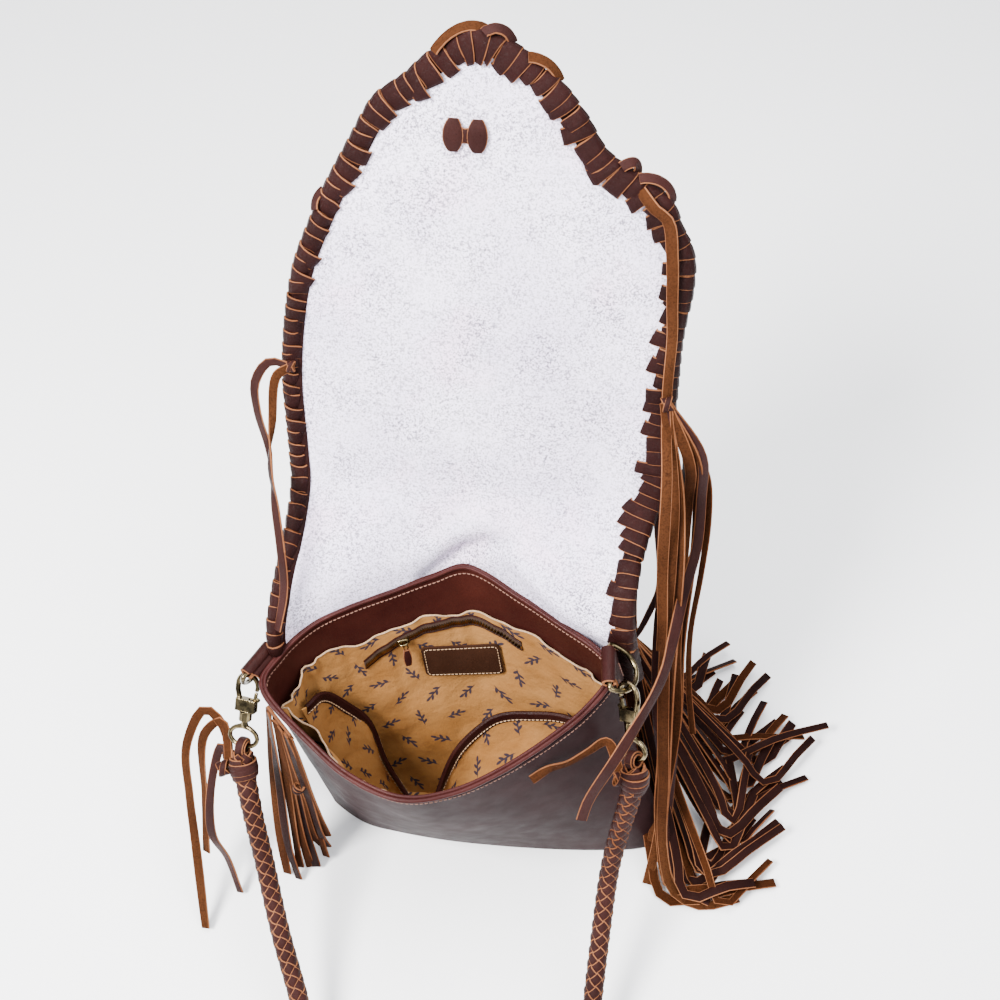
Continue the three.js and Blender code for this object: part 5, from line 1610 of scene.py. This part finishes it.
def lace_bundle():
    bits = Parts()
    hold = on_flap(0.985, row_share(168, FRINGE_CREST), 9.2)
    small_knot(bits, hold + Vector((1, 0, 0)), (1, 0.1, 0.2), 4.6)
    for index, (width, end, route) in enumerate(BUNDLE):
        shown = (0, -1, 0.1) if index == 1 else (0.15, 1, -0.1)
        last = (0, 0, -1) if end == "floor" else shown
        points = [hold] + [at(*row) for row in route]
        strip(bits, points, width, 1.6, shown, last, 44, 0.0, 0.1, width)
        if end == "floor":
            count = len(points)
            for step, turned in ((5.5, 1), (-5.0, -1)):
                beside = []
                for k, p in enumerate(points[1:-1]):
                    wave = math.sin(k * 1.3 + step) * 2.0
                    behind = 3.4 if step > 0 else 6.6
                    beside.append(p + Vector((step + wave, behind, 2.5 if k < count - 4 else 1.0)))
                side_face = Vector((0.4 * turned, turned, 0.1))
                side_last = Vector((0.1, 0.1, turned))
                strip(bits, [hold] + beside, width * 0.8, 1.5, side_face, side_last, 44, 0.2, 0.1, step)
    total = edge_lengths[-1]
    points = []
    for share, into, off in ((0.616, 2.5, 5.0), (0.623, 4.0, 7.6), (0.63, 5.5, 8.8)):
        point, _, inward, normal = edge_at(total * share)
        points.append(point + inward * into + normal * off)
    for across, up in LACE_ON_FLAP:
        points.append(flap_surface(across, up) + normal * 8.6)
    points += [at(*row) for row in LONG_LACE]
    strip(bits, points, 8.2, 1.5, (0, 1, -0.2), (0, 1, 0), 72, 0.0, 0.0, 1.0)
    stray = [Vector(row) for row in STRAY_LACE]
    strip(bits, stray, 5.2, 1.5, (0.1, -1, 0.1), (0.1, -1, 0.1), 40, 0.1, 0.0, 2.0)
    piece = bits.build("lace_bundle_strips", STRIP_MATERIALS)
    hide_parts("lace_bundle")


LEFT_LACES = [
    [
        (-1.23, 0.985, 1.69),
        (-1.295, 0.92, 1.645),
        (-1.29, 0.85, 1.56),
        (-1.245, 0.775, 1.44),
        (-1.17, 0.5, 1.4),
        (-1.13, 0.35, 1.3),
        (-1.12, 0.25, 1.17),
        (-1.15, 0.12, 1.06),
    ],
    [
        (-1.2, 0.96, 1.645),
        (-1.225, 0.85, 1.52),
        (-1.22, 0.68, 1.44),
        (-1.16, 0.5, 1.4),
        (-1.115, 0.34, 1.29),
    ],
]


def left_laces():
    bits = Parts()
    hold = on_flap(0.02, row_share(166, 300.0), 7.7)
    small_knot(bits, hold, (1, 0, 0), 3.4)
    for k, route in enumerate(LEFT_LACES):
        points = [hold] + [at(*row) for row in route]
        first = (0, 1, 0.1) if k else (0, -1, 0.1)
        strip(bits, points, 6.8, 1.3, first, (-0.3, -1, 0), 40, 0.2, 0.1, k)
    piece = bits.build("laces_left_strips", STRIP_MATERIALS)
    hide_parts("laces_left")


# Strips of the left fringe: share along the head, how far it stands out, and its way down.
LEFT_FRINGE = [
    (-0.46, 1.0, [(-1.24, -0.2, 0.5), (-1.225, -0.36, 0.2), (-1.2, -0.46, 0.02)]),
    (-0.34, 3.0, [(-1.2, -0.24, 0.46), (-1.175, -0.4, 0.17), (-1.13, -0.48, 0.012)]),
    (-0.22, 0.5, [(-1.16, -0.22, 0.5), (-1.14, -0.36, 0.18), (-1.13, -0.42, 0.03)]),
    (-0.1, 2.5, [(-1.13, -0.25, 0.44), (-1.1, -0.36, 0.15), (-1.075, -0.4, 0.012)]),
    (0.02, 1.0, [(-1.1, -0.24, 0.5), (-1.085, -0.32, 0.2), (-1.04, -0.4, 0.02)]),
    (0.13, 3.0, [(-1.08, -0.27, 0.4), (-1.055, -0.31, 0.16), (-1.03, -0.27, 0.012)]),
    (0.24, 0.5, [(-1.05, -0.26, 0.48), (-1.02, -0.3, 0.2), (-0.99, -0.34, 0.03)]),
    (0.34, 2.5, [(-1.03, -0.29, 0.45), (-1.0, -0.32, 0.2), (-0.985, -0.3, 0.06)]),
    (0.46, 1.0, [(-1.01, -0.3, 0.5), (-0.985, -0.31, 0.3), (-0.975, -0.3, 0.15)]),
]


def left_fringe():
    bits = Parts()
    across, _, outward = wall_frame(0.3, 0.86)
    seat = wall_point(0.3, 0.86) + outward * 2.2
    head = [seat + across * (30 * (k / 8 - 0.5)) for k in range(9)]
    bits.add(*band(head, [outward] * 9, 10.0, 2.4, 0.3, (0, 0, 2)))
    for k, (along, off, route) in enumerate(LEFT_FRINGE):
        start = seat + across * (30 * along) + outward * off
        face = outward if k % 3 == 1 else -outward
        last = Vector((0.1, -1, 0.2)) if k % 3 == 1 else Vector((-0.1, 1, -0.2))
        strip(bits, [start] + [at(*row) for row in route], 7.8, 1.5, face, last, 30, 0.2, 0.1, k * 1.3)
    small_knot(bits, at(-1.07, -0.29, 0.5), (0.2, 0.2, 1), 4.2)
    piece = bits.build("fringe_left_strips", [FRINGE_FACE, LACE_BACK, RAW_EDGE])
    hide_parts("fringe_left")


LEFT_KNOT = [
    [
        (-1.46, -0.15, 0.7),
        (-1.57, -0.08, 0.74),
        (-1.68, -0.2, 0.62),
        (-1.68, -0.35, 0.45),
        (-1.67, -0.5, 0.24),
        (-1.6, -0.83, 0.02),
    ],
    [
        (-1.48, -0.2, 0.64),
        (-1.55, -0.32, 0.5),
        (-1.57, -0.46, 0.3),
        (-1.51, -0.5, 0.16),
        (-1.45, -0.6, 0.02),
    ],
    [
        (-1.47, -0.12, 0.72),
        (-1.58, -0.16, 0.66),
        (-1.6, -0.34, 0.44),
        (-1.62, -0.5, 0.2),
    ],
]
RIGHT_TAIL = [
    (6.95, 0.835, 6.5),
    (6.55, 0.84, 4.0),
    (6.1, 0.85, 4.5),
    (5.75, 0.872, 3.0),
    (5.42, 0.868, 3.5),
]

# Strap

STRAP_ROUTE = [
    (-1.27, -0.5, 0.54),
    (-1.2, -0.67, 0.43),
    (-1.085, -0.96, 0.285),
    (-0.94, -1.27, 0.165),
    (-0.8, -1.63, 0.075),
    (-0.7, -2.04, 0),
    (-0.62, -2.46, 0),
    (-0.465, -2.89, 0),
    (-0.14, -3.15, 0),
    (0.24, -3.08, 0),
    (0.48, -2.76, 0),
    (0.565, -2.35, 0),
    (0.59, -1.93, 0),
    (0.6, -1.51, 0.075),
    (0.61, -1.12, 0.17),
    (0.625, -0.79, 0.29),
    (0.645, -0.52, 0.44),
]
STRAP_ENDS = [(-191.0, -37.6, 163.6), (100.6, -38.5, 203.9)]
STRAP_NEAR_ENDS = [(-189.5, -45.0, 154.5), (101.5, -44.0, 196.0)]
# Where the strap's end loops pass through the rings of the clips: centre, then the clip's axis.
END_LOOPS = [
    ((-190.6, -34.3, 167.9), (0.065, 0.62, 0.782), (0.97, -0.224, 0.097)),
    ((99.7, -35.2, 207.9), (-0.165, 0.635, 0.755), (-0.733, 0.433, -0.524)),
]
BRAID_PITCH = 40.0


def strap_line():
    middle = []
    for row in STRAP_ROUTE:
        p = at(*row)
        p.z = max(p.z, STRAP_RADIUS + 0.05)
        middle.append(p)
    points = [Vector(STRAP_ENDS[0]), Vector(STRAP_NEAR_ENDS[0])] + middle
    points += [Vector(STRAP_NEAR_ENDS[1]), Vector(STRAP_ENDS[1])]
    return points


def braided_strap():
    steps = 540
    line = curve(strap_line(), steps)
    lengths = lengths_along(line)
    total = lengths[-1]
    along = tangents(line)
    normal = Vector((0, 0, 1))
    normals = []
    for i in range(len(line)):
        normal = (normal - along[i] * normal.dot(along[i])).normalized()
        normals.append(normal)
    sides = [along[i].cross(normals[i]) for i in range(len(line))]
    bits = Parts()
    bits.add(*tube(line, 4.6, 8, mark=0))
    for direction in (1, -1):
        for k in range(4):
            points = []
            faces = []
            for i, p in enumerate(line):
                s = lengths[i]
                near_end = max(0.0, 1 - min(s, total - s) / 70)
                radius = 5.7 + 0.9 * smoothstep(near_end, 0.0, 1.0)
                angle = direction * 2 * math.pi * s / BRAID_PITCH + math.pi / 2 * k
                over = direction * math.cos(8 * math.pi * s / BRAID_PITCH)
                radius += 0.95 * over
                out = normals[i] * math.cos(angle) + sides[i] * math.sin(angle)
                flat = 1.0 if abs(out.z) < 0.6 else 0.97
                points.append(p + out * (radius * flat))
                faces.append(out)
            bits.add(*band(points, faces, 6.9, 1.3, 0.45, (0, 0, 1), 0.55))
    for centre, axis, across in END_LOOPS:
        centre = Vector(centre)
        axis = Vector(axis)
        other = axis.cross(Vector(across)).normalized()
        for lift in (0.0, 1.9):
            points = []
            faces = []
            for k in range(25):
                angle = 2 * math.pi * k / 24
                out = other * math.cos(angle) + axis * math.sin(angle)
                points.append(centre + out * (4.6 + lift))
                faces.append(out)
            bits.add(*band(points, faces, 8.5 - lift, 1.4, 0.3, (0, 0, 1)))
    piece = bits.build("braid", [LACE_FACE, RAW_EDGE])
    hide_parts("braided_strap")
    return line, along, normals


def collar(bits, line, along, normals, start):
    """Turns of lace wound round the braid; returns their middle."""
    lengths = lengths_along(line)
    turns = 3.2
    points = []
    faces = []
    for k in range(61):
        t = k / 60
        place = start + 3 + 13 * t
        i = min(range(len(lengths)), key=lambda n: abs(lengths[n] - place))
        side = along[i].cross(normals[i])
        angle = 2 * math.pi * turns * t
        out = normals[i] * math.cos(angle) + side * math.sin(angle)
        exact = line[i] + along[i] * (place - lengths[i])
        points.append(exact + out * (8.9 + 1.2 * math.sin(math.pi * t)))
        faces.append(out)
    bits.add(*band(points, faces, 5.6, 1.5, 0.4))
    i = min(range(len(lengths)), key=lambda n: abs(lengths[n] - start - 9.5))
    return line[i]


def knots(line, along, normals):
    bits = Parts()
    middle = collar(bits, line, along, normals, 2.0)
    side = middle + Vector((-11.0, 0, 0))
    small_knot(bits, side + Vector((-4, -2, 0)), (1, 0.3, 0.2), 5.2)
    for k, route in enumerate(LEFT_KNOT):
        points = [side] + [at(*row) for row in route]
        first, last = ((0, 1, -0.3), (0.1, 1, -0.4)) if k != 1 else ((0, -1, 0.3), (0.1, -1, 0.4))
        strip(bits, points, 7.6, 1.5, first, last, 34, 0.3 * k, 0.1, k * 2.0)
    piece = bits.build("knot_left_laces", STRIP_MATERIALS)
    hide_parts("knot_left")
    bits = Parts()
    total = lengths_along(line)[-1]
    middle = collar(bits, line, along, normals, total - 19.0)
    side = middle + Vector((-9.6, 0, 0))
    tail = [wall_point(station, rise, -off - 1.0) for station, rise, off in RIGHT_TAIL]
    small_knot(bits, side + Vector((-1.5, -1, 0)), (1, 0.2, -0.2), 4.6)
    strip(bits, [side] + tail, 7.4, 1.5, (0, 1, -0.4), (0, 1, -0.4), 34, 0.0, 0.1)
    piece = bits.build("knot_right_laces", STRIP_MATERIALS)
    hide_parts("knot_right")


# Tabs and metal fittings

TAB_WIDTH = 28.0
TAIL_WIDTH = 17.0
TAB_RADIUS = 5.3
TAB_TAIL = 26.0


def tab(name, node, station, out, lift, side):
    across, upward, outward = wall_frame(station, 1.0)
    along = Vector((across.x, across.y, across.z * 0.5)).normalized()
    flat_out = (outward - along * outward.dot(along)).normalized()
    up = (upward - along * upward.dot(along)).normalized()
    rim_point = wall_point(station, 1.0)
    roll = rim_point + flat_out * out + up * lift
    seat = rim_point + flat_out * (LEATHER / 2 + 0.7)
    radius = TAB_RADIUS - LEATHER / 2
    spots = [(seat - up * TAB_TAIL, TAIL_WIDTH - 3), (seat - up * (TAB_TAIL - 3), TAIL_WIDTH)]
    spots += [(seat - up * 12, TAIL_WIDTH + 1), (seat, TAIL_WIDTH + 4)]
    for k in range(17):
        angle = 1.85 * math.pi * k / 16
        point = roll + flat_out * (side * radius * math.cos(angle)) + up * (radius * math.sin(angle))
        width = TAB_WIDTH if k > 1 else TAB_WIDTH - 4
        spots.append((point, width))
    points = [p for p, w in spots]
    widths = [w for p, w in spots]
    dense = dense_spline(points, 5)
    wide = []
    for a, b in zip(widths, widths[1:]):
        wide += [lerp(a, b, k / 5) for k in range(5)]
    wide.append(widths[-1])
    running = tangents(dense)
    faces = [t.cross(along).normalized() for t in running]
    if faces[2].dot(flat_out) < 0:
        faces = [-f for f in faces]
    bits = Parts()
    bits.add(*band(dense, faces, wide, LEATHER, 0.15, (0, 0, 1)))
    piece = bits.build(name, [TRIM_LEATHER, RAW_EDGE])
    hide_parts(node)
    seam = Parts()
    for edge in (-1, 1):
        line = [seat - up * k + along * (edge * (TAIL_WIDTH / 2 - 2)) + flat_out * 1.1 for k in range(2, 25)]
        made = stitches(line, [flat_out] * len(line), 3.2, 2.1, 0.7)
        seam.add(made.points, made.faces, made.marks)
    made = seam.build(name + "_seam", [PINK])


def round_off(node, material, voxel, passes, swell=0.0):
    """Softens the edges of a metal part and gives it its finish."""
    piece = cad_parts[node]
    piece.data.materials.clear()
    piece.data.materials.append(material)
    for polygon in piece.data.polygons:
        polygon.material_index = 0
    if swell:
        joined = piece.modifiers.new("joined", "WELD")
        joined.merge_threshold = 0.00002
        rounder = piece.modifiers.new("rounder", "SUBSURF")
        rounder.levels = 2
        rounder.render_levels = 2
    remesh = piece.modifiers.new("even_faces", "REMESH")
    remesh.mode = "VOXEL"
    remesh.voxel_size = voxel
    remesh.use_smooth_shade = True
    smooth = piece.modifiers.new("soft_edges", "SMOOTH")
    smooth.factor = 0.5
    smooth.iterations = passes
    if swell:
        full = piece.modifiers.new("full_wire", "DISPLACE")
        full.mid_level = 0.0
        full.strength = swell


def floor():
    size = 4000.0
    points = [Vector((x, y, -0.1)) for x, y in ((-size, -size), (size, -size), (size, size), (-size, size))]
    s = Shade("floor")
    s.finish(Base_Color=(0.93, 0.935, 0.95), Roughness=0.9, Specular_IOR_Level=0.2)
    piece = make("floor", points, [(0, 1, 2, 3)], [s.material], fit=None)


def area_light(name, place, target, size, power, colour=(1.0, 1.0, 1.0)):
    lamp = bpy.data.lights.new(name, "AREA")
    lamp.shape = "DISK"
    lamp.size = size
    lamp.energy = power
    lamp.color = colour
    holder = bpy.data.objects.new(name, lamp)
    bpy.context.scene.collection.objects.link(holder)
    holder.location = place
    holder.rotation_euler = (Vector(target) - Vector(place)).to_track_quat("-Z", "Y").to_euler()


def studio():
    world = bpy.data.worlds.new("studio")
    bpy.context.scene.world = world
    world.use_nodes = True
    world.node_tree.nodes["Background"].inputs["Color"].default_value = (0.93, 0.95, 1.0, 1.0)
    world.node_tree.nodes["Background"].inputs["Strength"].default_value = 1.1
    area_light("key", (-0.9, -0.75, 1.7), (0.0, 0.0, 0.15), 0.7, 150.0, (1.0, 0.98, 0.96))
    area_light("fill", (1.1, -0.9, 1.3), (0.0, 0.0, 0.2), 1.4, 26.0)
    area_light("top", (0.1, 0.3, 1.9), (0.0, 0.0, 0.0), 1.4, 60.0)


def camera():
    lens = bpy.data.cameras.new("camera")
    lens.sensor_width = 36.0
    lens.lens = 50.4
    lens.clip_start = 0.05
    lens.clip_end = 20.0
    holder = bpy.data.objects.new("camera", lens)
    holder.location = (0.052, -0.496, 1.118)
    holder.rotation_euler = (math.radians(37.0), 0.0, math.radians(6.0))
    bpy.context.scene.collection.objects.link(holder)
    bpy.context.scene.camera = holder


camera()
studio()
floor()
bag_wall()
rim()
rim_stitches()
lining()
pocket("pocket_left_cloth", "pocket_left", LEFT_HEM, 9.0)
pocket("pocket_right_cloth", "pocket_right", RIGHT_HEM, 13.0)
zip_row()
slider()
label()
flap()
edge_lacing()
edge_loops()
bow_stitch()
strap_route, strap_tangents, strap_normals = braided_strap()
knots(strap_route, strap_tangents, strap_normals)
left_laces()
lace_bundle()
right_fringe()
left_fringe()
tab("tab_left_leather", "tab_left", 17.4, TAB_RADIUS + 3.2, 2.5, -1)
tab("tab_right_leather", "tab_right", 8.1, -2.1, TAB_RADIUS + 3.1, 1)
for side in ("left", "right"):
    round_off("d_ring_" + side, OLD_BRASS, 0.00035, 10, 0.0003)
    round_off("clip_" + side, OLD_BRASS, 0.00028, 15)
    round_off("lever_" + side, OLD_BRASS, 0.00025, 5)
    round_off("eye_" + side, OLD_BRASS, 0.00035, 10, 0.0003)
